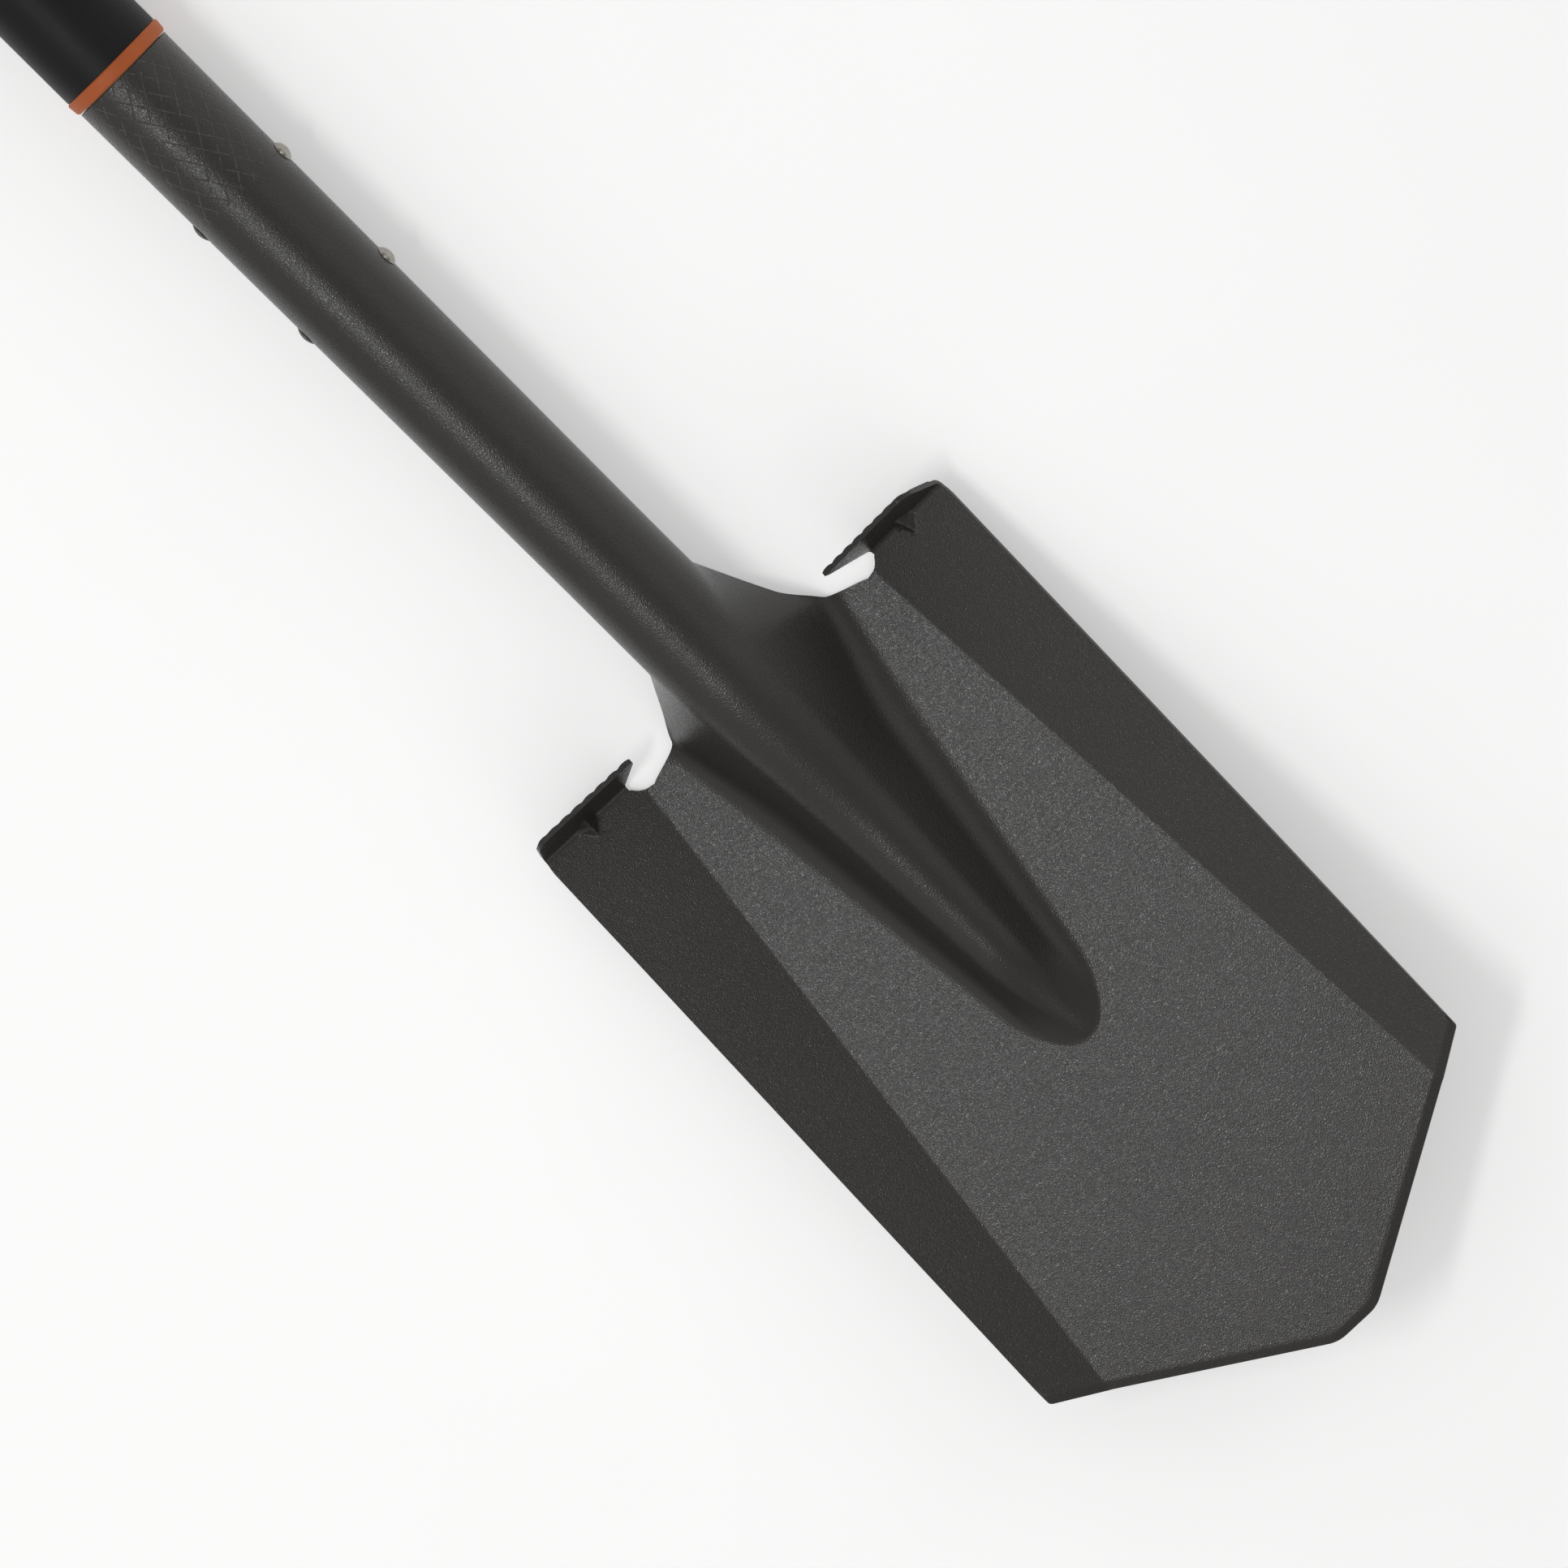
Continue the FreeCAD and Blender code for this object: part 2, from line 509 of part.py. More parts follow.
def yoke_plan():
    """The yoke's outline in plan: flared arms round a hand opening with an elliptical foot."""
    straight = BAR_Y - HAND_DEPTH
    flare = ARM_LINE + ((EYE_X, straight),)
    outer = {}
    for side in (-1, 1):
        curve = Part.BSplineCurve()
        curve.interpolate(Points=[FreeCAD.Vector(side * x, y, 0) for x, y in flare],
                          InitialTangent=Y_AXIS, FinalTangent=Y_AXIS)
        outer[side] = curve.toShape()

    def line(a, b):
        return Part.LineSegment(FreeCAD.Vector(a[0], a[1], 0), FreeCAD.Vector(b[0], b[1], 0)).toShape()

    ellipse = Part.Ellipse(FreeCAD.Vector(0, CROTCH_Y, 0), FreeCAD.Vector(EYE_INSIDE, straight, 0),
                           FreeCAD.Vector(0, straight, 0))
    foot = Part.ArcOfEllipse(ellipse, -math.pi / 2, math.pi / 2).toShape()
    edges = [outer[1], line((EYE_X, straight), (EYE_X, BAR_Y)), line((EYE_X, BAR_Y), (EYE_INSIDE, BAR_Y)),
             line((EYE_INSIDE, BAR_Y), (EYE_INSIDE, straight)), foot,
             line((-EYE_INSIDE, straight), (-EYE_INSIDE, BAR_Y)),
             line((-EYE_INSIDE, BAR_Y), (-EYE_X, BAR_Y)), line((-EYE_X, BAR_Y), (-EYE_X, straight)), outer[-1],
             line((-flare[0][0], flare[0][1]), flare[0])]
    return Part.Wire(Part.sortEdges(edges)[0])


def eye(side):
    """The round end of one arm, its outer rim softened."""
    base = FreeCAD.Vector(side * EYE_INSIDE, BAR_Y, 0)
    body = Part.makeCylinder(EYE_RADIUS, EYE_WIDE, base, X_AXIS * side)
    rim = [edge for edge in body.Edges if abs(edge.CenterOfMass.x) > EYE_X - FAINT]
    return body.makeFillet(EYE_ROUND, rim)


def eye_disc(side, radius, depth, thick):
    """A disc about the grip bar's line, its inner face this deep inside an eye's outer face."""
    return Part.makeCylinder(radius, thick, FreeCAD.Vector(side * (EYE_X - depth), BAR_Y, 0), X_AXIS * side)


def grip_yoke():
    """The moulded Y: a ferrule round the shaft and two arms that end in eyes for the bar."""
    half = YOKE_THICK / 2
    arms = Part.Face(yoke_plan()).extrude(Z_AXIS * YOKE_THICK)
    arms.translate(Z_AXIS * -half)
    rims = [edge for edge in arms.Edges if abs(abs(edge.CenterOfMass.z) - half) < FAINT
            and YOKE_START + ARM_FOOT + FAINT < edge.CenterOfMass.y < BAR_Y - FAINT]
    arms = arms.makeFillet(YOKE_EDGE, rims)
    throat = CROTCH_Y - THROAT_INSET
    ferrule = turned([(0.0, YOKE_START), (FERRULE_RADIUS - FERRULE_CHAMFER, YOKE_START),
                      (FERRULE_RADIUS, YOKE_START + FERRULE_CHAMFER), (FERRULE_RADIUS, FERRULE_TOP - FERRULE_TAPER),
                      (THROAT_RADIUS, throat), (0.0, throat)])
    body = arms.multiFuse([ferrule, eye(-1), eye(1)])
    body = body.cut(rod(CORE_RADIUS + FIT, YOKE_START - FERRULE_CHAMFER, FERRULE_TOP - FERRULE_STOP))
    body = body.cut(cross_tube(ROD_RADIUS + FIT, 0.0, 2 * EYE_X))
    for side in (-1, 1):
        body = body.cut(eye_disc(side, CAP_RADIUS + FIT, EYE_RECESS, 2 * EYE_RECESS))
    return body.cut(screw_shanks()).cut(screw_seats()).removeSplitter()


def upright(radius, y, low, high):
    return Part.makeCylinder(radius, high - low, FreeCAD.Vector(0, y, low), Z_AXIS)


def screw_shanks():
    """The holes the two screws' shanks fill, from the back of the ferrule."""
    return Part.makeCompound([upright(SCREW_RADIUS, y, -TOOL_REACH, SCREW_TIP) for y in SCREW_LINES])


def screw_seats():
    """The wider bores that their heads sit in."""
    radius = SCREW_HEAD_RADIUS + SCREW_HEAD_GAP
    return Part.makeCompound([upright(radius, y, -TOOL_REACH, SCREW_SINK - FERRULE_RADIUS) for y in SCREW_LINES])


def yoke_screws():
    """Two cross-head screws sunk in the back of the ferrule, as a group."""
    seat = SCREW_SINK - FERRULE_RADIUS
    low = seat - SCREW_HEAD
    screws = []
    for y in SCREW_LINES:
        screw = upright(SCREW_HEAD_RADIUS, y, low, seat).fuse(upright(SCREW_RADIUS, y, seat, SCREW_TIP))
        for width, length in ((CROSS_WIDTH, CROSS_LENGTH), (CROSS_LENGTH, CROSS_WIDTH)):
            corner = FreeCAD.Vector(-width / 2, y - length / 2, low - CROSS_DEPTH)
            screw = screw.cut(Part.makeBox(width, length, 2 * CROSS_DEPTH, corner))
        screws.append(screw)
    return Part.makeCompound(screws)


def cross_tube(outer, inner, half_length):
    """A tube about the grip bar's line, centred on the shaft."""
    start = FreeCAD.Vector(-half_length, BAR_Y, 0)
    body = Part.makeCylinder(outer, 2 * half_length, start, X_AXIS)
    if inner:
        body = body.cut(Part.makeCylinder(inner, 2 * half_length, start, X_AXIS))
    return body


def grip_rod():
    """The steel rod, flush with the outer faces of its nuts."""
    return cross_tube(ROD_RADIUS, 0.0, EYE_X - EYE_RECESS + WASHER_THICK + NUT_GAP + NUT_THICK)


def grip_bar():
    return cross_tube(BAR_RADIUS, ROD_RADIUS + FIT, EYE_INSIDE - BAR_GAP)


def grip_cushion():
    body = cross_tube(CUSHION_RADIUS, 0.0, EYE_INSIDE - CUSHION_GAP)
    rims = [edge for edge in body.Edges if abs(edge.CenterOfMass.x) > EYE_INSIDE - 2 * CUSHION_GAP]
    return body.makeChamfer(CUSHION_CHAMFER, rims).cut(cross_tube(BAR_RADIUS + CLEARANCE, 0.0, EYE_INSIDE))


def grip_washers():
    """A plain washer under each end of the rod, as a group."""
    hole = cross_tube(ROD_RADIUS + CLEARANCE, 0.0, EYE_X)
    discs = [eye_disc(side, WASHER_RADIUS, EYE_RECESS, WASHER_THICK) for side in (-1, 1)]
    return Part.makeCompound([disc.cut(hole) for disc in discs])


def rod_nuts():
    """A thin hexagon nut on each end of the rod, as a group."""
    hole = cross_tube(ROD_RADIUS + CLEARANCE, 0.0, EYE_X)
    corners = [math.radians(60 * index) for index in range(6)]
    nuts = []
    for side in (-1, 1):
        x = side * (EYE_X - EYE_RECESS + WASHER_THICK + NUT_GAP)
        ring = [FreeCAD.Vector(x, BAR_Y + NUT_CORNER * math.cos(turn), NUT_CORNER * math.sin(turn))
                for turn in corners]
        body = Part.Face(Part.makePolygon(ring + [ring[0]])).extrude(X_AXIS * side * NUT_THICK)
        nuts.append(body.cut(hole))
    return Part.makeCompound(nuts)


def grip_cap(side):
    """A round push-in cover over one end of the rod."""
    disc = eye_disc(side, CAP_RADIUS, CAP_SEAT, CAP_THICK)
    rim = [edge for edge in disc.Edges if abs(edge.CenterOfMass.x) > EYE_X + CAP_SEAT - FAINT]
    return disc.makeChamfer(CAP_CHAMFER, rim)


def build_parts():
    parts = {
        "blade_head": blade_head(),
        "collar_ring": collar_ring(),
        "shaft_core": shaft_core(),
        "shaft_sleeve": shaft_sleeve(),
        "lower_plug": lower_plug(),
        "upper_plug": upper_plug(),
        "grip_yoke": grip_yoke(),
        "yoke_screws": yoke_screws(),
        "grip_rod": grip_rod(),
        "grip_bar": grip_bar(),
        "grip_cushion": grip_cushion(),
        "grip_washers": grip_washers(),
        "rod_nuts": rod_nuts(),
        "grip_cap_left": grip_cap(-1),
        "grip_cap_right": grip_cap(1),
    }
    for name, y in RIVET_LINES.items():
        parts[name] = rivet(y)
    return parts


def settle_on_floor(parts):
    """Moves every part so that the origin is the middle of the whole box's underside."""
    box = FreeCAD.BoundBox()
    for shape in parts.values():
        points, _ = shape.tessellate(BOX_TOLERANCE)
        for point in points:
            box.add(point)
    move = FreeCAD.Vector(0, -box.Center.y, -box.ZMin)
    for shape in parts.values():
        shape.translate(move)
    print("the shaft's line is at y", round(move.y, 4), "z", round(move.z, 4))


os.makedirs("parts", exist_ok=True)
all_parts = build_parts()
settle_on_floor(all_parts)
for name, shape in all_parts.items():
    shape.exportStep("parts/" + name + ".step")
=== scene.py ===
import math

import bmesh
import bpy
import numpy as np
from mathutils import Matrix, Vector


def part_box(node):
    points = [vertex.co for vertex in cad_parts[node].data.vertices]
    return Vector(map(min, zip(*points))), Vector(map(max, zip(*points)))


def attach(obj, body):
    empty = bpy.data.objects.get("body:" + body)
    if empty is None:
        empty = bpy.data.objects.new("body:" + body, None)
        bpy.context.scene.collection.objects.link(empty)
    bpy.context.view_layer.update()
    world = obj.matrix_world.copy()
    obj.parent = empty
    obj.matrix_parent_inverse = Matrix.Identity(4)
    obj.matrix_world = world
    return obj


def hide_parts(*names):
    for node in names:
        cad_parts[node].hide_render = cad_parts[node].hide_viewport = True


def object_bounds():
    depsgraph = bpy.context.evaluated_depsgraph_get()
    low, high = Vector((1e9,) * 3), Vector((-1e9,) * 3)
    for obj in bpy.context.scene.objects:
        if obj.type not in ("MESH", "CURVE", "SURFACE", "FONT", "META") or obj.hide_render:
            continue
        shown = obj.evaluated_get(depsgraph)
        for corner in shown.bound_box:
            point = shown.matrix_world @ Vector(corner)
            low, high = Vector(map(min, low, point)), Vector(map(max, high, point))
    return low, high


# A pointed digging shovel lying on its back. The pressed head is rebuilt here as one fine mesh with its
# bends, ribs, darts and ground edge; the shaft's line is the Y axis and y = 0 is the tread line while a
# mesh is worked out in mm, and placed() moves it into the frame, in metres.

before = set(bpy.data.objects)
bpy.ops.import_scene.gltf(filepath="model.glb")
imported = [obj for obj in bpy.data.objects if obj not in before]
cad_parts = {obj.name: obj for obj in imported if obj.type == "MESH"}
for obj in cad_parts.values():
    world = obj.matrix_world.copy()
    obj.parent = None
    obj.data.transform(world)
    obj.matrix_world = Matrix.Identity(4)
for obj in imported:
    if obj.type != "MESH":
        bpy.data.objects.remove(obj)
cad_box = [list(corner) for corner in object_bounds()]

# --- the head, in mm, the same sizes as the CAD ---------------------------------------------------
# the sheet, and where the flat panel lies below the shaft's line
SHEET = 1.6
LIFT = math.radians(8.6)
HEEL_DROP = 24.6
# the blade's outline and its two folds
BLADE_LENGTH = 313.9
BLADE_HALF_WIDTH = 100.0
BLADE_SPREAD = 1.1
LOWER_CORNER = 260.9
POINT_RADIUS = 14.0
POINT_FLAT = 9.5
CORNER_RADIUS = 3.0
FOLD_TOP = 56.8
FOLD_SPREAD = 0.094
FOLD_RADIUS = 5.0
WING = math.radians(15.0)
# the socket, and the neck that opens out of it; the lip's curls are in degrees
SOCKET_TOP = 303.0
SOCKET_RADIUS = 20.5
NECK_RADIUS = 19.2
NECK_Y = 68.0
OPENING_BEND = 1.78
OPENING_RUN = 0.85
LIP_START = 0.8
LIP_LEAST_CURL = 0.4
LIP_CURL = 18.5
SEAM_GAP = 1.2
# the ridge: crest and foot arcs, sides that taper, a crest that dips, and a rounded end
RIDGE_CREST = NECK_RADIUS
RIDGE_FILLET = 11.0
RIDGE_HALF_WIDTH = 45.0
RIDGE_TAPER = 0.161
RIDGE_DIP = 5.5
RIDGE_DIP_END = 75.0
RIDGE_FOOT_GROWTH = 0.6
RIDGE_FOOT_END = 50.0
RIDGE_RUN = 130.0
RIDGE_SIDES = 150.0
RIDGE_END = 176.5
RIDGE_BLUNTNESS = 0.96
RIDGE_END_START, RIDGE_END_FINISH = 2.2, 1.2
CREST_NARROWING, FILLET_NARROWING = 0.9, 0.7
FAINT = 0.02
# the notches beside the neck, with the powers that curve their two walls
NOTCH_X, NOTCH_V = 54.0, 6.3
NOTCH_OUTER = 62.0
NOTCH_WALL_START, NOTCH_WALL_FINISH = 1.6, 0.62
NOTCH_OUTER_CURVE = 1.8
# the treads with their ribs, and the gussets pressed under them
TREAD_HEIGHT = 22.0
TREAD_LEAN = math.radians(8.8)
TREAD_OVERHANG = 8.0
TREAD_CORNER = 6.0
TREAD_INSET = 0.5
TREAD_TAPER = 0.08
TREAD_TIP = 3.0
TREAD_BEND = 2.2
THROAT_LOW, THROAT_HIGH, THROAT_STEP = 1.0, 2.0, 0.5
RIB_PITCH = 5.6
RIB_HEIGHT = 0.5
RIB_FOOT = 4.0
RIB_FADE = 1.2
RIB_HALF_WIDTH = 0.46
RIB_SQUARENESS = 2.6
DART_X = 80.0
DART_HALF_WIDTH = 4.8
DART_REACH = 7.0
DART_FULLNESS = 0.85
# the ground edge along the point
GRIND_WIDTH = 3.2
GRIND_DEPTH = 0.75
STEEPEST = 2.0
# the crossed grooves on the socket, in metres, with their slope and their share of the pitch
HATCH_PITCH = 0.0094
HATCH_SLOPE = 1.46
HATCH_WIDTH = 0.055
HATCH_BREAKS = 320.0
HATCH_END = 0.058
# the small distance over which slopes are measured
STEP = 0.05

X_WAY = np.array([1.0, 0.0, 0.0])
NORMAL = np.array([0.0, math.sin(LIFT), math.cos(LIFT)])
DOWN = np.array([0.0, -math.cos(LIFT), math.sin(LIFT)])
HEEL = np.array([0.0, 0.0, -HEEL_DROP])

# the shaft's line and the tread line in the frame, from the ring that sits on the socket's mouth
ring_low, ring_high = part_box("collar_ring")
RING_GAP = 0.5
SHAFT_LINE = Vector((0.0, ring_low.y - (SOCKET_TOP + RING_GAP) / 1000.0, (ring_low.z + ring_high.z) / 2))


def placed(points):
    """Design millimetres into frame metres."""
    return np.asarray(points, float) / 1000.0 + np.array(SHAFT_LINE)


def ease(low, high, share):
    """Runs smoothly from low to high as share goes from 0 to 1."""
    share = np.clip(share, 0.0, 1.0)
    return low + (high - low) * share * share * (3.0 - 2.0 * share)


# --- the blade as a surface over (x, v); v runs down from the tread line --------------------------

def ridge_height(v):
    """Height of the ridge's crest above the flat."""
    straight = (HEEL_DROP + NECK_RADIUS - v * math.tan(LIFT)) / math.cos(LIFT)
    straight = straight - ease(0.0, RIDGE_DIP, v / RIDGE_DIP_END)
    share = np.clip((v - RIDGE_RUN) / (RIDGE_END - RIDGE_RUN), 0.0, 1.0)
    return np.maximum(straight * (1.0 - share ** RIDGE_END_START) ** RIDGE_END_FINISH, FAINT)


def ridge_half_width(v):
    share = np.clip((v - RIDGE_SIDES) / (RIDGE_END - RIDGE_SIDES), 0.0, 1.0)
    sides = RIDGE_HALF_WIDTH - RIDGE_TAPER * np.minimum(v, RIDGE_END)
    return sides * np.sqrt(1.0 - RIDGE_BLUNTNESS * share ** 2)


def flank(height, half_width, crest, fillet):
    """Slope and length of the straight flank between the crest's arc and the foot's arc."""
    rise = height - crest - fillet
    span = np.hypot(half_width, rise)
    length = np.sqrt(np.maximum(span ** 2 - (crest + fillet) ** 2, 0.0))
    return np.arctan2(rise, half_width) + np.arcsin(np.minimum((crest + fillet) / span, 1.0)), length


def ridge_shape(v):
    """Half width, crest radius, fillet radius, slope and straight length of the ridge at v."""
    half_width = ridge_half_width(v)
    narrowing = half_width / RIDGE_HALF_WIDTH
    crest = RIDGE_CREST * narrowing ** CREST_NARROWING
    growth = 1.0 + ease(0.0, RIDGE_FOOT_GROWTH, v / RIDGE_FOOT_END)
    fillet = RIDGE_FILLET * growth * narrowing ** FILLET_NARROWING
    slope, length = flank(ridge_height(v), half_width, crest, fillet)
    return half_width, crest, fillet, slope, length


def fold_half_width(v):
    return FOLD_TOP + FOLD_SPREAD * v


def panel_edge(v):
    return fold_half_width(v) - FOLD_RADIUS * math.tan(WING / 2)


def side_edge(v):
    return BLADE_HALF_WIDTH + BLADE_SPREAD * np.clip(v, 0.0, LOWER_CORNER) / LOWER_CORNER


def surface(x, v):
    """Height above the flat and slope of the front surface at arrays x and v."""
    half_width, crest, fillet, slope, length = ridge_shape(v)
    top = ridge_height(v)
    crest_x = crest * np.sin(slope)
    flank_x = crest_x + length * np.cos(slope)
    fold_x = panel_edge(v)
    fold_end = fold_x + FOLD_RADIUS * math.sin(WING)
    crest_z = top - crest + np.sqrt(np.maximum(crest ** 2 - x ** 2, 0.0))
    flank_z = top - crest + crest * np.cos(slope) - (x - crest_x) * np.tan(slope)
    foot_z = fillet - np.sqrt(np.maximum(fillet ** 2 - (half_width - x) ** 2, 0.0))
    bend_z = FOLD_RADIUS - np.sqrt(np.maximum(FOLD_RADIUS ** 2 - (x - fold_x) ** 2, 0.0))
    wing_z = FOLD_RADIUS * (1.0 - math.cos(WING)) + (x - fold_end) * math.tan(WING)
    zones = [x <= crest_x, x <= flank_x, x <= half_width, x <= fold_x, x <= fold_end]
    height = np.select(zones, [crest_z, flank_z, foot_z, 0.0 * x, bend_z], wing_z)
    crest_tilt = np.arcsin(np.clip(x / crest, -1.0, 1.0))
    foot_tilt = np.arcsin(np.clip((half_width - x) / fillet, 0.0, 1.0))
    fold_tilt = -np.arcsin(np.clip((x - fold_x) / FOLD_RADIUS, 0.0, 1.0))
    tilts = [crest_tilt, slope + 0.0 * x, foot_tilt, 0.0 * x, fold_tilt]
    return height, np.select(zones, tilts, -WING)


def on_blade(x, v):
    """Points and normals of the front surface."""
    height, tilt = surface(x, v)
    ahead, _ = surface(x, v + STEP)
    slope_v = (ahead - height) / STEP
    points = HEEL + X_WAY * x[..., None] + DOWN * v[..., None] + NORMAL * height[..., None]
    normals = X_WAY * np.tan(tilt)[..., None] - DOWN * slope_v[..., None] + NORMAL
    return points, normals / np.linalg.norm(normals, axis=-1, keepdims=True)


def lower_edge(x):
    """How far down the blade's rim is at x, with both corners of the point rounded."""
    corner_x = BLADE_HALF_WIDTH + BLADE_SPREAD
    slant = math.atan2(BLADE_LENGTH - LOWER_CORNER, corner_x - POINT_FLAT)
    straight = BLADE_LENGTH - (x - POINT_FLAT) * math.tan(slant)
    tip_x = POINT_FLAT - POINT_RADIUS * math.tan(slant / 2)
    tip_end = tip_x + POINT_RADIUS * math.sin(slant)
    tip = BLADE_LENGTH - POINT_RADIUS + np.sqrt(np.maximum(POINT_RADIUS ** 2 - (x - tip_x) ** 2, 0.0))
    back = CORNER_RADIUS * math.tan((math.pi / 2 - slant) / 2)
    centre_x, centre_v = corner_x - CORNER_RADIUS, LOWER_CORNER - back
    corner = centre_v + np.sqrt(np.maximum(CORNER_RADIUS ** 2 - np.maximum(x - centre_x, 0.0) ** 2, 0.0))
    zones = [x <= tip_x, x <= tip_end, x <= centre_x + CORNER_RADIUS * math.sin(slant)]
    return np.select(zones, [BLADE_LENGTH + 0.0 * x, tip, straight], corner)


# --- columns across the blade and rows down it ----------------------------------------------------

def spread(start, end, count):
    """count steps from start to end, leaving out the start; start and end are arrays."""
    shares = np.arange(1, count + 1) / count
    return start[..., None] + (end - start)[..., None] * shares


# how many columns each part across the blade has, and where the ridge's columns turn into even ones
CREST_STEPS, FLANK_STEPS, FOOT_STEPS, NEAR_STEPS = 16, 12, 12, 8
FAR_STEPS, FOLD_STEPS, WING_STEPS = 5, 7, 60
CORE_COLUMNS = CREST_STEPS + FLANK_STEPS + FOOT_STEPS + NEAR_STEPS
NEAR_SHARE = 0.785
PLAIN_START = 178.0
PLAIN_RUN = 50.0


def column_x(v):
    """The x of every column at each v: the middle strip's columns, then the outer strip's."""
    half_width, crest, _, slope, length = ridge_shape(v)
    crest_x = crest * np.sin(slope)
    flank_x = crest_x + length * np.cos(slope)
    split = half_width + (panel_edge(v) - half_width) * NEAR_SHARE
    fold_x = panel_edge(v)
    fold_end = fold_x + FOLD_RADIUS * math.sin(WING)
    zero = 0.0 * v
    ridge = np.concatenate([zero[..., None],
                            spread(zero, crest_x, CREST_STEPS),
                            spread(crest_x, flank_x, FLANK_STEPS),
                            spread(flank_x, half_width, FOOT_STEPS),
                            spread(half_width, split, NEAR_STEPS)], axis=-1)
    even = np.linspace(0.0, 1.0, CORE_COLUMNS + 1) * split[..., None]
    share = ease(0.0, 1.0, (v - PLAIN_START) / PLAIN_RUN)[..., None]
    core = ridge * (1.0 - share) + even * share
    outer = np.concatenate([spread(split, fold_x, FAR_STEPS),
                            spread(fold_x, fold_end, FOLD_STEPS),
                            spread(fold_end, side_edge(v), WING_STEPS)], axis=-1)
    return core, np.concatenate([core[..., -1:], outer], axis=-1)


# how many rows each part down the head has; from LOWER_START the rows swing to follow the point
LOWER_START = 236.0
LOWER_ROWS = 34
GRIND_ROWS = 6
GRIND_BAND = 1.16
SETTLING_ROUNDS = 12
RIDGE_ROWS, RIDGE_END_ROWS, PANEL_ROWS = 78, 52, 26
RIDGE_END_LEAD, RIDGE_END_TRAIL = 10.0, 3.0
SOCKET_ROWS, NECK_ROWS, NOTCH_ROWS = 60, 61, 9
SECTION_PIECES = 60
DENSE_POINTS = 400


def lower_grid(which):
    """x and v of the rows that swing from level to follow the point; which is 0 for the middle, 1 outer."""
    shares = np.arange(1, LOWER_ROWS + 1) / LOWER_ROWS
    edge_rows = np.arange(1, GRIND_ROWS + 1) / GRIND_ROWS
    x = column_x(np.array([LOWER_START]))[which]
    x = np.repeat(x, LOWER_ROWS + GRIND_ROWS, axis=0)
    band = GRIND_WIDTH * GRIND_BAND
    for _ in range(SETTLING_ROUNDS):
        limit = lower_edge(x)
        main = LOWER_START + shares[:, None] * (limit[:LOWER_ROWS] - band - LOWER_START)
        last = limit[LOWER_ROWS:] - band * (1.0 - edge_rows[:, None])
        v = np.concatenate([main, last])
        columns = column_x(v.ravel())[which].reshape(v.shape + (-1,))
        x = np.take_along_axis(columns, np.arange(v.shape[1])[None, :, None], axis=2)[..., 0]
    return x, v


def blade_rows():
    """v of the level rows below the notch, close together where the ridge ends."""
    end_start, end_finish = RIDGE_RUN - RIDGE_END_LEAD, RIDGE_END + RIDGE_END_TRAIL
    return np.concatenate([np.linspace(NOTCH_V, end_start, RIDGE_ROWS),
                           np.linspace(end_start, end_finish, RIDGE_END_ROWS)[1:],
                           np.linspace(end_finish, LOWER_START, PANEL_ROWS)[1:]])


def ground_depth(x, v):
    """How much the front surface is ground away towards the rim of the point."""
    lean = (lower_edge(x + STEP) - lower_edge(x - STEP)) / (2 * STEP)
    reach = (lower_edge(x) - v) / np.sqrt(1.0 + np.clip(lean, -STEEPEST, STEEPEST) ** 2)
    return GRIND_DEPTH * np.clip(1.0 - reach / GRIND_WIDTH, 0.0, 1.0)


def ground(points, normals, depth):
    """The front points lowered by the depth ground away in the last rows."""
    lowered = points.copy()
    lowered[-len(depth):] -= normals[-len(depth):] * depth[..., None]
    return lowered


# --- the neck and the socket, section by section --------------------------------------------------

def section_points(steps, height, shares):
    """x, z and heading at shares of the length of half a section.

    A step is (radius, angle) for an arc or (None, length) for a straight.
    """
    x, z, heading, run = 0.0, height, 0.0, 0.0
    places = [(x, z, heading, run)]
    for radius, amount in steps:
        part = amount / SECTION_PIECES
        turn = 0.0 if radius is None else part
        stride = part if radius is None else abs(part) * radius
        for _ in range(SECTION_PIECES):
            x += stride * math.cos(heading + turn / 2)
            z -= stride * math.sin(heading + turn / 2)
            heading += turn
            run += stride
            places.append((x, z, heading, run))
    xs, zs, headings, runs = np.array(places).T
    return [np.interp(shares * run, runs, values) for values in (xs, zs, headings)]


def neck_section(y, shares):
    """Front points and normals of the core columns at height y above the tread line."""
    share = 1.0 - min(y / NECK_Y, 1.0)
    tilt = float(ease(0.0, LIFT, share))
    radius = NECK_RADIUS + (SOCKET_RADIUS - NECK_RADIUS) * max(y - NECK_Y, 0.0) / (SOCKET_TOP - NECK_Y)
    heel_height = float(ridge_height(0.0))
    foot_angle, foot_length = flank(heel_height, RIDGE_HALF_WIDTH, RIDGE_CREST, RIDGE_FILLET)
    closed = math.pi - SEAM_GAP / 2 / radius
    angle = foot_angle + (closed - foot_angle) * (1.0 - share) ** OPENING_BEND
    length = max(foot_length * (1.0 - (1.0 - share) ** OPENING_RUN), FAINT)
    curl = math.radians(float(ease(LIP_LEAST_CURL, LIP_CURL, (share - LIP_START) / (1.0 - LIP_START))))
    x, z, heading = section_points([(radius, angle), (None, length), (RIDGE_FILLET, -curl)], radius, shares)
    crest_y = y + heel_height * math.sin(LIFT) * share
    up = np.array([0.0, math.sin(tilt), math.cos(tilt)])
    crest = np.array([0.0, crest_y, radius])
    points = crest + X_WAY * x[:, None] + up * (z - radius)[:, None]
    normals = X_WAY * np.sin(heading)[:, None] + up * np.cos(heading)[:, None]
    return points, normals


HEEL_SLOPE = float(flank(float(ridge_height(0.0)), RIDGE_HALF_WIDTH, RIDGE_CREST, RIDGE_FILLET)[0])


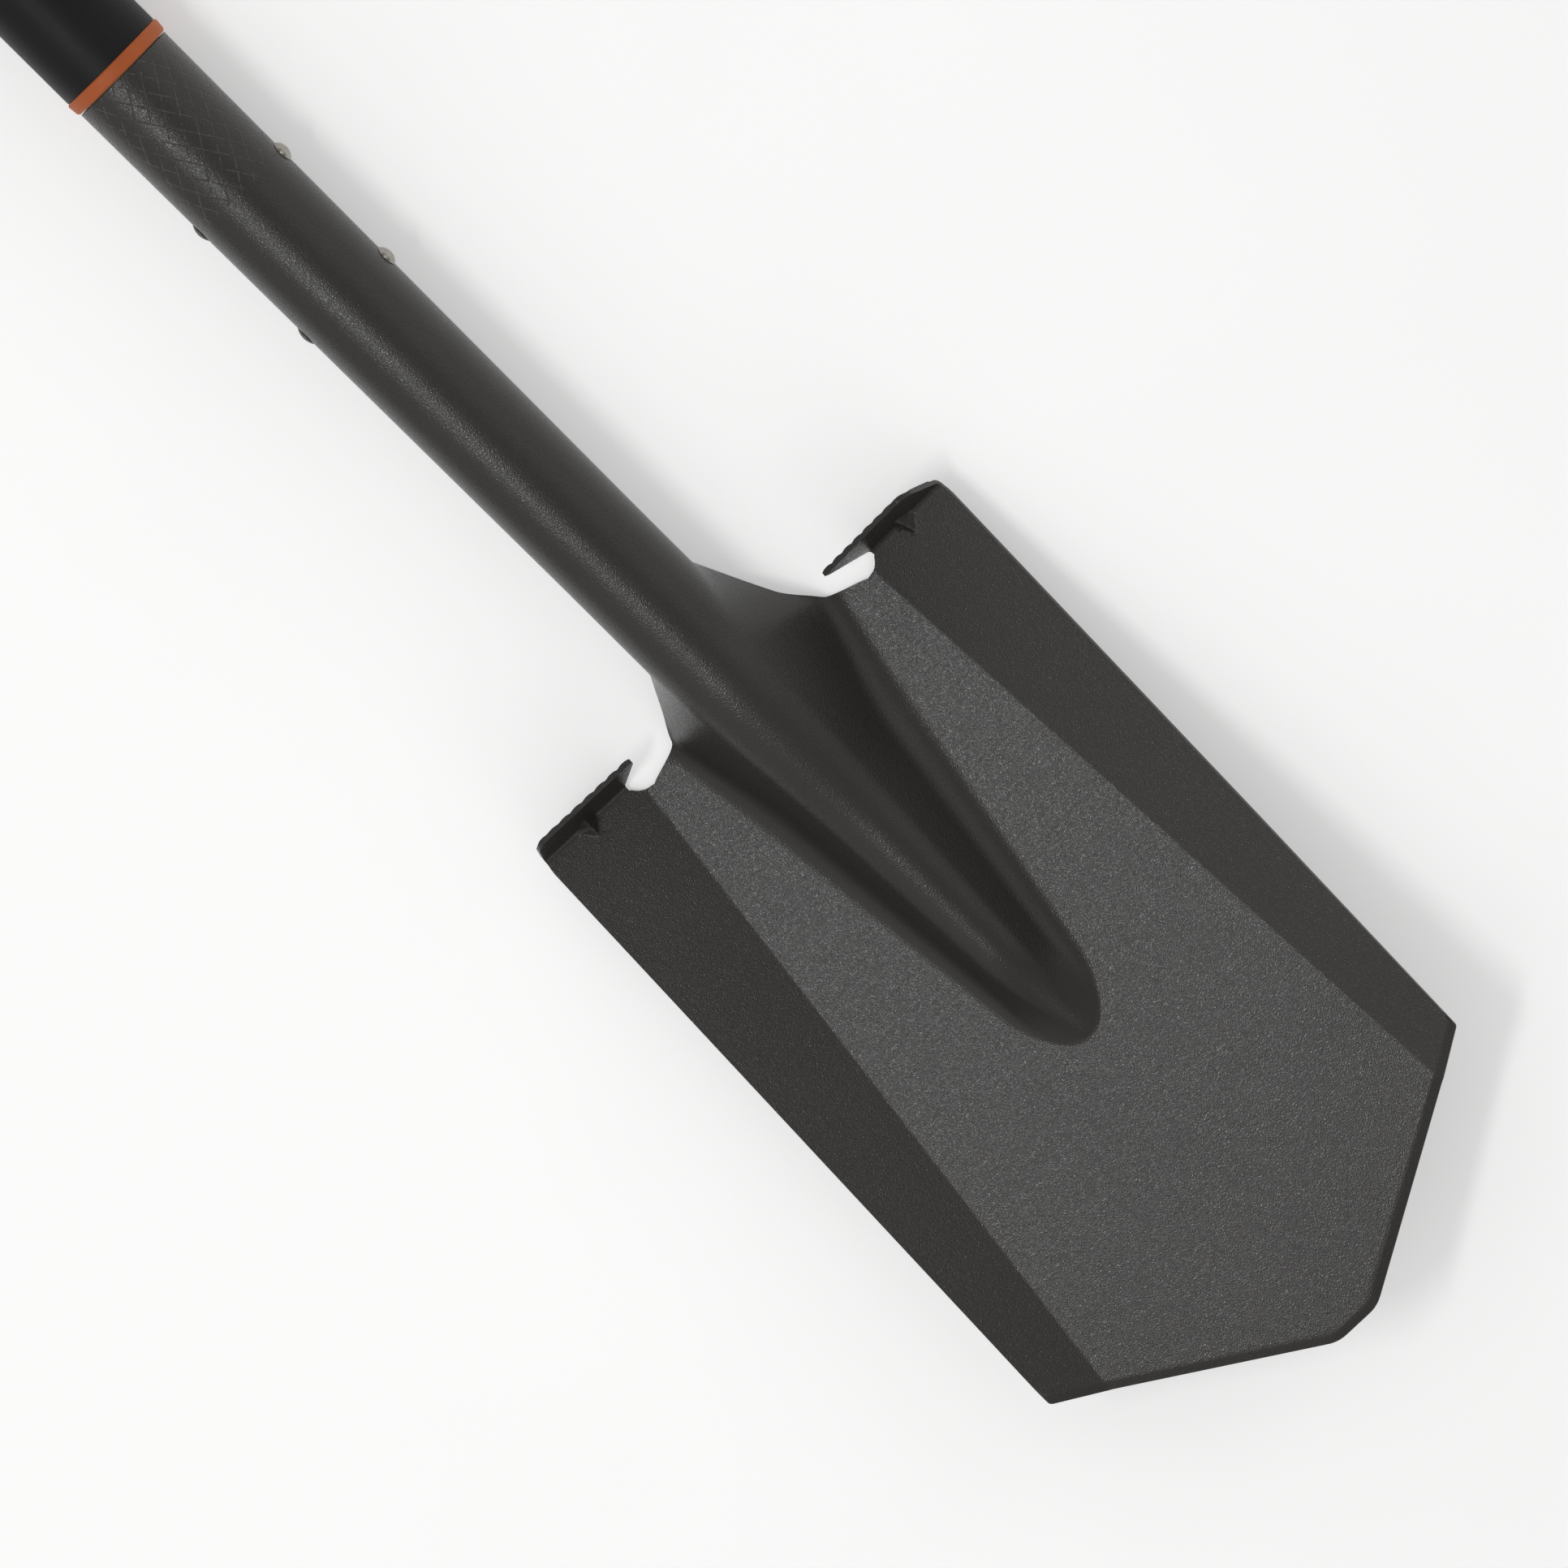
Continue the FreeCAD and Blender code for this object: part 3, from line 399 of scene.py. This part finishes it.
def notch_x(v):
    """The notch's inner wall on the blade: x of the sheet's edge between the tread line and its bottom."""
    shares = np.clip(v / NOTCH_V, 0.0, 1.0)
    start = RIDGE_HALF_WIDTH - RIDGE_FILLET * math.sin(HEEL_SLOPE - math.radians(LIP_CURL))
    closing = 1.0 - np.sin(shares * math.pi / 2) ** NOTCH_WALL_START
    return NOTCH_X - (NOTCH_X - start) * closing ** NOTCH_WALL_FINISH


def core_grid():
    """Front points, normals and ground depth of the middle strip, right side, socket's mouth first."""
    x_all, _ = column_x(np.array([NOTCH_V]))
    first = x_all[0]
    height, _ = surface(first, np.full_like(first, NOTCH_V))
    arc = np.concatenate([[0.0], np.cumsum(np.hypot(np.diff(first), np.diff(height)))])
    shares = arc / arc[-1]
    points, normals = [], []
    heights = np.concatenate([np.linspace(SOCKET_TOP, NECK_Y, SOCKET_ROWS),
                              np.linspace(NECK_Y, 0.0, NECK_ROWS)[1:]])
    for y in heights:
        row_points, row_normals = neck_section(y, shares)
        points.append(row_points)
        normals.append(row_normals)
    for v in np.linspace(0.0, NOTCH_V, NOTCH_ROWS)[1:-1]:
        dense = np.linspace(0.0, float(notch_x(v)), DENSE_POINTS)
        z, _ = surface(dense, np.full_like(dense, v))
        run = np.concatenate([[0.0], np.cumsum(np.hypot(np.diff(dense), np.diff(z)))])
        x = np.interp(shares * run[-1], run, dense)
        row_points, row_normals = on_blade(x, np.full_like(x, v))
        points.append(row_points)
        normals.append(row_normals)
    rows = blade_rows()
    x, _ = column_x(rows)
    main_points, main_normals = on_blade(x, np.repeat(rows[:, None], x.shape[1], axis=1))
    low_x, low_v = lower_grid(0)
    low_points, low_normals = on_blade(low_x, low_v)
    points = np.concatenate([np.array(points), main_points, low_points])
    normals = np.concatenate([np.array(normals), main_normals, low_normals])
    return points, normals, ground_depth(low_x, low_v)


# --- the wing with its tread ----------------------------------------------------------------------

ALONG = X_WAY * math.cos(WING) + NORMAL * math.sin(WING)
OUT = NORMAL * math.cos(WING) - X_WAY * math.sin(WING)
BEND_TURN = math.pi / 2 - TREAD_LEAN
BEND_START = TREAD_BEND * math.tan(BEND_TURN / 2)
# rows of the tread's mesh: how far below the free edge the first ones are, and how many follow
TREAD_EDGE_ROWS = (0.0, 0.3, 0.8, 1.5, 2.3)
TREAD_ROWS, TREAD_BEND_ROWS, TAB_ROWS = 22, 9, 8


def outer_shares():
    """Where each column of the outer strip lies between the strip's two sides, at the notch's foot."""
    x = column_x(np.array([NOTCH_V]))[1][0]
    return (x - x[0]) / (x[-1] - x[0])


def tread_inner(h):
    """Distance from the fold to the tread's inner end, which leans towards the neck above the wing."""
    inner = (NOTCH_OUTER - FOLD_TOP) / math.cos(WING)
    tip = inner - TREAD_OVERHANG
    heights = [0.0, THROAT_LOW, THROAT_HIGH, TREAD_HEIGHT - TREAD_TIP, TREAD_HEIGHT]
    return np.interp(h, heights, [inner, inner, inner - THROAT_STEP, tip, tip])


def tread_outer(h):
    """Distance from the fold to the tread's outer end, with its top corner rounded."""
    outer = (BLADE_HALF_WIDTH - FOLD_TOP) / math.cos(WING) - TREAD_INSET - TREAD_TAPER * np.maximum(h, 0.0)
    over = np.clip(h - (TREAD_HEIGHT - TREAD_CORNER), 0.0, TREAD_CORNER)
    return outer - TREAD_CORNER + np.sqrt(np.maximum(TREAD_CORNER ** 2 - over ** 2, 0.0))


def tread_rows():
    """(points, normals, s, h) of the tread from its free edge down to the end of its bend."""
    shares = outer_shares()
    near_edge = TREAD_HEIGHT - np.array(TREAD_EDGE_ROWS)
    rows = []
    for h in np.concatenate([near_edge[:-1], np.linspace(near_edge[-1], BEND_START, TREAD_ROWS)]):
        rows.append((h, BEND_TURN, h - BEND_START))
    for turn in np.linspace(BEND_TURN, 0.0, TREAD_BEND_ROWS)[1:]:
        rows.append((BEND_START * turn / BEND_TURN, turn, 0.0))
    points, normals, along, heights = [], [], [], []
    for h, turn, rise in rows:
        inner, outer = float(tread_inner(h)), float(tread_outer(h))
        s = inner + (outer - inner) * shares
        facing = OUT * math.cos(turn) + DOWN * math.sin(turn)
        up = OUT * math.sin(turn) - DOWN * math.cos(turn)
        centre = HEEL + X_WAY * FOLD_TOP + DOWN * BEND_START + OUT * TREAD_BEND
        row = centre - facing * TREAD_BEND + up * rise + ALONG * s[:, None]
        points.append(row)
        normals.append(np.repeat(facing[None], len(s), axis=0))
        along.append(s)
        heights.append(np.full_like(s, h))
    return [np.array(values) for values in (points, normals, along, heights)]


def tab_inner(v):
    """The notch's outer wall on the wing."""
    share = np.clip(v / NOTCH_V, 0.0, 1.0)
    return NOTCH_X + (NOTCH_OUTER - NOTCH_X) * np.sqrt(1.0 - share ** NOTCH_OUTER_CURVE)


def wing_grid():
    """Front points, normals, x, v, height up the tread and ground depth of the outer strip."""
    points, normals, along, heights = tread_rows()
    downs = np.zeros_like(heights)
    tab_v = np.linspace(BEND_START, NOTCH_V, TAB_ROWS)[1:-1]
    rows = blade_rows()
    tab_x = []
    for v in tab_v:
        inner = float(tab_inner(v))
        outer = BLADE_HALF_WIDTH - TREAD_INSET * ((NOTCH_V - v) / (NOTCH_V - BEND_START)) ** 2
        tab_x.append(inner + outer_shares() * (outer - inner))
    x = np.concatenate([np.array(tab_x), column_x(rows)[1]])
    v = np.repeat(np.concatenate([tab_v, rows])[:, None], x.shape[1], axis=1)
    main_points, main_normals = on_blade(x, v)
    low_x, low_v = lower_grid(1)
    low_points, low_normals = on_blade(low_x, low_v)
    x_all = np.concatenate([FOLD_TOP + along * math.cos(WING), x, low_x])
    v_all = np.concatenate([downs, v, low_v])
    h_all = np.concatenate([heights, np.zeros_like(v), np.zeros_like(low_v)])
    points = np.concatenate([points, main_points, low_points])
    normals = np.concatenate([normals, main_normals, low_normals])
    return points, normals, x_all, v_all, h_all, ground_depth(low_x, low_v)


def press_darts(points, x, v, h):
    """Pulls the corner under the tread forward in a narrow wedge, as a press does."""
    away = np.where(h > 0, h, v)
    width = DART_HALF_WIDTH * np.clip(1.0 - away / DART_REACH, 0.0, 1.0)
    weight = np.clip(1.0 - np.abs(x - DART_X) / np.maximum(width, 1e-6), 0.0, 1.0) * DART_FULLNESS
    share = np.where(h > 0, 0.5 + 0.5 * h / DART_REACH, 0.5 - 0.5 * v / DART_REACH)
    up = OUT * math.sin(BEND_TURN) - DOWN * math.cos(BEND_TURN)
    base = HEEL + X_WAY * FOLD_TOP + ALONG * ((x - FOLD_TOP) / math.cos(WING))[..., None]
    bridge = base + (DOWN * (1.0 - share)[..., None] + up * share[..., None]) * DART_REACH
    return points + (bridge - points) * weight[..., None]


def ribs(back, normals, x, h):
    """Raises rounded ribs on the tread's back, from just above its bend to its free edge."""
    s = (x - FOLD_TOP) / math.cos(WING)
    phase = np.mod(s - float(tread_inner(TREAD_HEIGHT)), RIB_PITCH) / RIB_PITCH - 0.5
    bump = np.clip(1.0 - (np.abs(phase) / RIB_HALF_WIDTH) ** RIB_SQUARENESS, 0.0, 1.0)
    fade = np.clip((h - RIB_FOOT) / RIB_FADE, 0.0, 1.0)
    return back - normals * (RIB_HEIGHT * bump * fade)[..., None]


# --- mesh building --------------------------------------------------------------------------------

WELD = 2e-6


class MeshMaker:
    """Collects grids of points and quads, then makes one object of them."""

    def __init__(self):
        self.points = []
        self.faces = []
        self.count = 0

    def grid(self, points):
        flat = points.reshape(-1, 3)
        index = np.arange(len(flat)).reshape(points.shape[:2]) + self.count
        self.points.append(flat)
        self.count += len(flat)
        return index

    def quads(self, index, flip):
        a, b, c, d = index[:-1, :-1], index[1:, :-1], index[1:, 1:], index[:-1, 1:]
        order = (a, d, c, b) if flip else (a, b, c, d)
        self.faces.append(np.stack([corner.ravel() for corner in order], axis=1))

    def strip(self, front, back, flip):
        self.quads(np.stack([front, back]), flip)

    def build(self, name):
        data = bpy.data.meshes.new(name)
        points = placed(np.concatenate(self.points))
        faces = np.concatenate(self.faces)
        data.from_pydata(points.tolist(), [], faces.tolist())
        shape = bmesh.new()
        shape.from_mesh(data)
        bmesh.ops.remove_doubles(shape, verts=shape.verts, dist=WELD)
        bmesh.ops.recalc_face_normals(shape, faces=shape.faces)
        shape.to_mesh(data)
        shape.free()
        made = bpy.data.objects.new(name, data)
        bpy.context.scene.collection.objects.link(made)
        return made


def soften(made, width, angle):
    """Smooth shading with small rounded edges."""
    bevel = made.modifiers.new("edge", "BEVEL")
    bevel.width = width
    bevel.segments = 2
    bevel.limit_method = "ANGLE"
    bevel.angle_limit = math.radians(angle)
    bevel.harden_normals = False
    made.data.shade_smooth()
    made.data.set_sharp_from_angle(angle=math.radians(50))


def mirrored(points):
    return points * np.array([-1.0, 1.0, 1.0])


def add_sheet(maker, front, back, rims, side):
    """Both faces of a strip and the rims asked for; side is 1, or -1 for the mirrored copy."""
    if side < 0:
        front, back = mirrored(front), mirrored(back)
    top = maker.grid(front)
    low = maker.grid(back)
    flip = side < 0
    maker.quads(top, flip)
    maker.quads(low, not flip)
    for line in rims:
        maker.strip(top[line], low[line], flip)


def inside_box(points):
    """Trims points to the box of the CAD model: its sides, its tip and the floor."""
    low, high = (np.array(Vector(corner) - SHAFT_LINE) * 1000.0 for corner in cad_box)
    return np.clip(points, low, high)


def build_head():
    maker = MeshMaker()
    core, core_normals, core_ground = core_grid()
    core_back = inside_box(core - core_normals * SHEET)
    core = inside_box(ground(core, core_normals, core_ground))
    wing, wing_normals, x, v, h, wing_ground = wing_grid()
    wing_back = inside_box(ribs(wing - wing_normals * SHEET, wing_normals, x, h))
    wing = inside_box(ground(press_darts(wing, x, v, h), wing_normals, wing_ground))
    free_core = core.shape[0] - len(blade_rows()) - LOWER_ROWS - GRIND_ROWS
    free_wing = wing.shape[0] - len(blade_rows()) - LOWER_ROWS - GRIND_ROWS
    core_rims = [(0, slice(None)), (-1, slice(None)), (slice(0, free_core + 1), -1)]
    wing_rims = [(0, slice(None)), (-1, slice(None)), (slice(0, free_wing + 1), 0), (slice(None), -1)]
    for side in (1, -1):
        add_sheet(maker, core, core_back, core_rims, side)
        add_sheet(maker, wing, wing_back, wing_rims, side)
    return maker.build("pressed_head")


head = build_head()
soften(head, 0.0003, 62)
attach(head, "root")
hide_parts("blade_head")


# --- materials ------------------------------------------------------------------------------------

class Nodes:
    """Short calls for building a node material."""

    def __init__(self, name):
        self.material = bpy.data.materials.new(name)
        self.material.use_nodes = True
        self.tree = self.material.node_tree
        self.shader = self.tree.nodes["Principled BSDF"]

    def new(self, kind, **values):
        node = self.tree.nodes.new(kind)
        for key, value in values.items():
            setattr(node, key, value)
        return node

    def link(self, source, target):
        self.tree.links.new(source, target)

    def fill(self, socket, value):
        if isinstance(value, bpy.types.NodeSocket):
            self.link(value, socket)
        else:
            socket.default_value = value

    def math(self, kind, a, b=0.0, c=0.0):
        node = self.new("ShaderNodeMath", operation=kind)
        for socket, value in zip(node.inputs, (a, b, c)):
            self.fill(socket, value)
        return node.outputs[0]

    def place(self):
        return self.new("ShaderNodeTexCoord").outputs["Object"]

    def noise(self, scale, detail, rough=0.5, vector=None):
        node = self.new("ShaderNodeTexNoise")
        node.inputs["Scale"].default_value = scale
        node.inputs["Detail"].default_value = detail
        node.inputs["Roughness"].default_value = rough
        self.link(vector or self.place(), node.inputs["Vector"])
        return node.outputs["Fac"]

    def shifted(self, vector, distance):
        """The same place, moved on by a distance in metres, for a second pattern."""
        node = self.new("ShaderNodeVectorMath", operation="ADD")
        self.link(vector, node.inputs[0])
        node.inputs[1].default_value = (distance, distance, distance)
        return node.outputs["Vector"]

    def steep(self, value, start, end):
        """0 below start, 1 above end."""
        node = self.new("ShaderNodeMapRange")
        self.link(value, node.inputs["Value"])
        node.inputs["From Min"].default_value = start
        node.inputs["From Max"].default_value = end
        return node.outputs["Result"]

    def cells(self, scale):
        """Distance from the middle of each cell of a leather-like grain."""
        node = self.new("ShaderNodeTexVoronoi")
        node.inputs["Scale"].default_value = scale
        self.link(self.place(), node.inputs["Vector"])
        return node.outputs["Distance"]

    def stretched(self, along):
        """Places squeezed along the shaft, so that a pattern on them runs in streaks."""
        node = self.new("ShaderNodeMapping")
        node.inputs["Scale"].default_value = (1.0, along, 1.0)
        self.link(self.place(), node.inputs["Vector"])
        return node.outputs["Vector"]

    def across(self, vector):
        """The x, y and z of a vector."""
        node = self.new("ShaderNodeSeparateXYZ")
        self.link(vector, node.inputs[0])
        return node.outputs

    def ramp(self, value, dark, light):
        """A colour that runs from dark to light as the value goes from 0.3 to 0.7."""
        node = self.new("ShaderNodeValToRGB")
        for element, spot, colour in zip(node.color_ramp.elements, (0.3, 0.7), (dark, light)):
            element.position = spot
            element.color = (*colour, 1.0)
        self.link(value, node.inputs["Fac"])
        return node.outputs["Color"]

    def either(self, share, first, second):
        """The first colour where share is 0, the second where it is 1."""
        node = self.new("ShaderNodeMixRGB")
        for socket, source in zip(node.inputs, (share, first, second)):
            self.link(source, socket)
        return node.outputs["Color"]

    def scale(self, value, low, high):
        """low where the value is 0, high where it is 1."""
        node = self.new("ShaderNodeMapRange")
        self.link(value, node.inputs["Value"])
        node.inputs["To Min"].default_value = low
        node.inputs["To Max"].default_value = high
        return node.outputs["Result"]

    def bump(self, height, distance, strength=1.0, below=None):
        node = self.new("ShaderNodeBump")
        node.inputs["Strength"].default_value = strength
        node.inputs["Distance"].default_value = distance
        self.link(height, node.inputs["Height"])
        if below is not None:
            self.link(below, node.inputs["Normal"])
        return node.outputs["Normal"]

    def finish(self, colour, roughness, normal=None, **constants):
        """Joins the patterns to the shader and sets its constant inputs; gives back the material."""
        for name, value in constants.items():
            self.shader.inputs[name.replace("_", " ")].default_value = value
        for name, value in (("Base Color", colour), ("Roughness", roughness), ("Normal", normal)):
            if value is not None:
                self.fill(self.shader.inputs[name], value)
        return self.material


def hatch(n, place):
    """1 in the crossed grooves scribed round the socket's top and 0 between them."""
    x, y, z = n.across(place)
    z = n.math("SUBTRACT", z, SHAFT_LINE.z)
    round_way = n.math("MULTIPLY", n.math("ARCTAN2", x, z), SOCKET_RADIUS / 1000.0)
    down = n.math("SUBTRACT", SHAFT_LINE.y + SOCKET_TOP / 1000.0, y)
    lines = []
    for way, seed in ((HATCH_SLOPE, 0.0), (-HATCH_SLOPE, 3.7)):
        phase = n.math("DIVIDE", n.math("MULTIPLY_ADD", round_way, way, down), HATCH_PITCH)
        off = n.math("ABSOLUTE", n.math("SUBTRACT", n.math("FRACT", phase), 0.5))
        line = n.math("SUBTRACT", 1.0, n.math("DIVIDE", n.math("SUBTRACT", 0.5, off), HATCH_WIDTH))
        broken = n.noise(HATCH_BREAKS, 1.0, 0.5, n.shifted(place, seed))
        lines.append(n.math("MULTIPLY", n.math("MAXIMUM", line, 0.0), n.steep(broken, 0.42, 0.50)))
    groove = n.math("MAXIMUM", lines[0], lines[1])
    return n.math("MULTIPLY", groove, n.math("LESS_THAN", down, HATCH_END))


def powder_coat():
    """Dark grey powder coat: a fine grain that sparkles where it meets the light's reflection."""
    n = Nodes("powder_coat_fine")
    place = n.place()
    specks = n.noise(2100.0, 0.0, 0.5, place)
    cloud = n.noise(14.0, 3.0, 0.5, place)
    shade = n.math("MULTIPLY_ADD", specks, 0.35, n.math("MULTIPLY", cloud, 0.65))
    coat = n.ramp(shade, (0.0225, 0.0200, 0.0185), (0.0300, 0.0268, 0.0248))
    scored = hatch(n, place)
    # lighter in the scribed grooves: partly bare metal where the scribe cut the coat, partly a painted
    # highlight for the light the grooves' edges catch
    groove_metal_and_highlight = n.ramp(specks, (0.072, 0.067, 0.064), (0.100, 0.094, 0.089))
    colour = n.either(scored, coat, groove_metal_and_highlight)
    grain = n.bump(specks, 0.00013, 0.8)
    grain = n.bump(n.noise(800.0, 1.0, 0.5, place), 0.00004, 0.6, grain)
    scribe = n.bump(scored, -0.00020, 1.0, grain)
    glint = n.steep(n.noise(2300.0, 0.0, 0.5, n.shifted(place, 1.3)), 0.50, 0.68)
    rough = n.math("MULTIPLY_ADD", glint, -0.17, 0.37)
    return n.finish(colour, rough, scribe)


def orange_plastic():
    n = Nodes("orange_moulding")
    tone = n.noise(90.0, 3.0)
    colour = n.ramp(tone, (0.43, 0.100, 0.026), (0.49, 0.118, 0.032))
    rough = n.scale(n.noise(300.0, 2.0), 0.5, 0.6)
    return n.finish(colour, rough, n.bump(n.noise(1800.0, 2.0), 0.00003, 0.6), Specular_IOR_Level=0.25)


def black_sleeve():
    n = Nodes("black_sleeve_satin")
    streaks = n.noise(700.0, 3.0, 0.6, n.stretched(0.06))
    colour = n.ramp(n.noise(30.0, 3.0), (0.0070, 0.0068, 0.0072), (0.0095, 0.0092, 0.0096))
    rough = n.scale(streaks, 0.45, 0.55)
    return n.finish(colour, rough, n.bump(streaks, 0.00003, 0.4), Specular_IOR_Level=0.22)


def black_moulding():
    n = Nodes("black_moulding_grain")
    grain = n.cells(900.0)
    colour = n.ramp(n.noise(40.0, 3.0), (0.016, 0.016, 0.017), (0.024, 0.024, 0.025))
    rough = n.scale(n.noise(200.0, 2.0), 0.42, 0.56)
    return n.finish(colour, rough, n.bump(grain, 0.00008, 0.5))


def soft_rubber():
    n = Nodes("soft_grip_rubber")
    grain = n.cells(600.0)
    colour = n.ramp(n.noise(50.0, 3.0), (0.012, 0.012, 0.012), (0.018, 0.018, 0.018))
    rough = n.scale(n.noise(150.0, 2.0), 0.62, 0.78)
    return n.finish(colour, rough, n.bump(grain, 0.00012, 0.7))


def metal(name, low, high, rough_low, rough_high, scale):
    n = Nodes(name)
    colour = n.ramp(n.noise(scale, 4.0, 0.6), low, high)
    rough = n.scale(n.noise(scale * 3.0, 3.0), rough_low, rough_high)
    return n.finish(colour, rough, n.bump(n.noise(scale * 8.0, 2.0), 0.00002, 0.4), Metallic=1.0)


def rivet_finish():
    """Polished nickel on the domed heads at the right; the set ends at the left are dark grey, painted
    shade for the dark those ends reflect.
    """
    n = Nodes("rivet_nickel")
    place = n.place()
    bright = n.math("GREATER_THAN", n.across(place)[0], 0.0)
    tone = n.noise(500.0, 4.0, 0.6, place)
    nickel = n.ramp(tone, (0.27, 0.255, 0.23), (0.38, 0.36, 0.33))
    # painted shade: the set ends at the left get a dark grey in place of nickel, as if they lay in shadow
    shaded_end_colour = n.ramp(tone, (0.021, 0.020, 0.020), (0.029, 0.027, 0.027))
    n.link(bright, n.shader.inputs["Metallic"])
    rough = n.math("MULTIPLY_ADD", bright, -0.2, n.scale(tone, 0.34, 0.44))
    scratches = n.bump(n.noise(4000.0, 2.0, 0.5, place), 0.00002, 0.4)
    return n.finish(n.either(bright, shaded_end_colour, nickel), rough, scratches)


def fibre():
    n = Nodes("glass_fibre_tube")
    strands = n.noise(1200.0, 4.0, 0.7, n.stretched(0.03))
    colour = n.ramp(strands, (0.16, 0.13, 0.06), (0.26, 0.22, 0.12))
    return n.finish(colour, n.scale(strands, 0.35, 0.55), n.bump(strands, 0.00005, 0.6))


def wood():
    n = Nodes("plug_hardwood")
    grain = n.noise(400.0, 5.0, 0.7, n.stretched(0.08))
    colour = n.ramp(grain, (0.38, 0.24, 0.12), (0.58, 0.42, 0.24))
    return n.finish(colour, n.scale(grain, 0.5, 0.7), n.bump(grain, 0.0001, 0.5))


def pale_floor():
    n = Nodes("studio_floor")
    colour = n.ramp(n.noise(6.0, 2.0), (0.86, 0.86, 0.855), (0.88, 0.88, 0.875))
    return n.finish(colour, 0.9, Emission_Color=(1.0, 1.0, 1.0, 1.0), Emission_Strength=0.36)


def dress(name, material):
    """Puts a material on every slot of a CAD node or piece."""
    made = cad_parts.get(name) or bpy.data.objects[name]
    if not made.material_slots:
        made.data.materials.append(material)
    for slot in made.material_slots:
        slot.material = material


bare_metal = metal("zinc_plated", (0.50, 0.50, 0.50), (0.62, 0.62, 0.61), 0.28, 0.42, 300.0)
FINISHES = {
    powder_coat(): ["pressed_head"],
    rivet_finish(): ["rivet_upper", "rivet_lower"],
    orange_plastic(): ["collar_ring"],
    black_sleeve(): ["shaft_sleeve"],
    fibre(): ["shaft_core"],
    wood(): ["lower_plug", "upper_plug"],
    black_moulding(): ["grip_yoke", "grip_bar", "grip_cap_left", "grip_cap_right"],
    soft_rubber(): ["grip_cushion"],
    bare_metal: ["yoke_screws", "grip_rod", "grip_washers", "rod_nuts"],
}
for finish, names in FINISHES.items():
    for name in names:
        dress(name, finish)


# --- floor, lights and camera ---------------------------------------------------------------------

FLOOR_HALF = 12.0


def add_floor():
    data = bpy.data.meshes.new("studio_floor")
    corners = [(x * FLOOR_HALF, y * FLOOR_HALF, 0.0) for x, y in ((-1, -1), (1, -1), (1, 1), (-1, 1))]
    data.from_pydata(corners, [], [(0, 1, 2, 3)])
    floor = bpy.data.objects.new("studio_floor", data)
    bpy.context.scene.collection.objects.link(floor)
    data.materials.append(pale_floor())


def add_softbox(name, aim, way, distance, size, power):
    """A rectangular soft light that faces the aim; way is the direction from the aim to it."""
    light = bpy.data.lights.new(name, "AREA")
    light.shape = "RECTANGLE"
    light.size, light.size_y = size
    light.energy = power
    box = bpy.data.objects.new(name, light)
    direction = Vector(way).normalized()
    box.location = Vector(aim) + direction * distance
    box.rotation_mode = "QUATERNION"
    box.rotation_quaternion = direction.to_track_quat("Z", "Y")
    bpy.context.scene.collection.objects.link(box)


def add_world(strength):
    world = bpy.data.worlds.new("studio")
    world.use_nodes = True
    background = world.node_tree.nodes["Background"]
    background.inputs["Color"].default_value = (1.0, 1.0, 1.0, 1.0)
    background.inputs["Strength"].default_value = strength
    bpy.context.scene.world = world


VIEW_SIDE = math.radians(15.9)
VIEW_ALONG = math.radians(5.1)
VIEW_ROLL = math.radians(-45.2)
VIEW_DISTANCE = 5.04
VIEW_TARGET = (-13.8, -35.8, 0.0)
LENS = 330.6


def add_camera():
    """Looks down on the blade from the right and a little from the grip's end, rolled as in the photo."""
    back = Vector((math.sin(VIEW_SIDE) * math.cos(VIEW_ALONG), math.sin(VIEW_ALONG),
                   math.cos(VIEW_SIDE) * math.cos(VIEW_ALONG)))
    level = Vector((0.0, 1.0, 0.0))
    level = (level - back * level.dot(back)).normalized()
    side = level.cross(back)
    right = side * math.cos(VIEW_ROLL) + level * math.sin(VIEW_ROLL)
    up = level * math.cos(VIEW_ROLL) - side * math.sin(VIEW_ROLL)
    data = bpy.data.cameras.new("camera")
    data.sensor_width = 36.0
    data.lens = LENS
    data.clip_start, data.clip_end = 0.1, 60.0
    camera = bpy.data.objects.new("camera", data)
    turn = Matrix((right, up, back)).transposed().to_4x4()
    camera.matrix_world = Matrix.Translation(Vector(placed(VIEW_TARGET)) + back * VIEW_DISTANCE) @ turn
    bpy.context.scene.collection.objects.link(camera)
    bpy.context.scene.camera = camera


add_floor()
AIM = placed((0.0, -135.0, 0.0))
add_softbox("key", AIM, (-0.265, 0.25, 1.0), 1.5, (0.66, 0.14), 4.7)
add_softbox("left_fill", AIM, (-0.9, 0.0, 0.75), 3.0, (1.6, 2.4), 4.0)
add_softbox("right_fill", AIM, (1.0, 0.1, 0.5), 3.0, (1.4, 2.4), 6.0)
add_softbox("grip_fill", AIM, (0.1, 1.0, 0.45), 3.0, (2.0, 1.2), 6.0)
add_softbox("tip_fill", AIM, (-0.1, -1.0, 0.5), 3.0, (2.0, 1.2), 7.0)
add_world(0.38)
add_camera()
bpy.context.scene.view_settings.view_transform = "Standard"
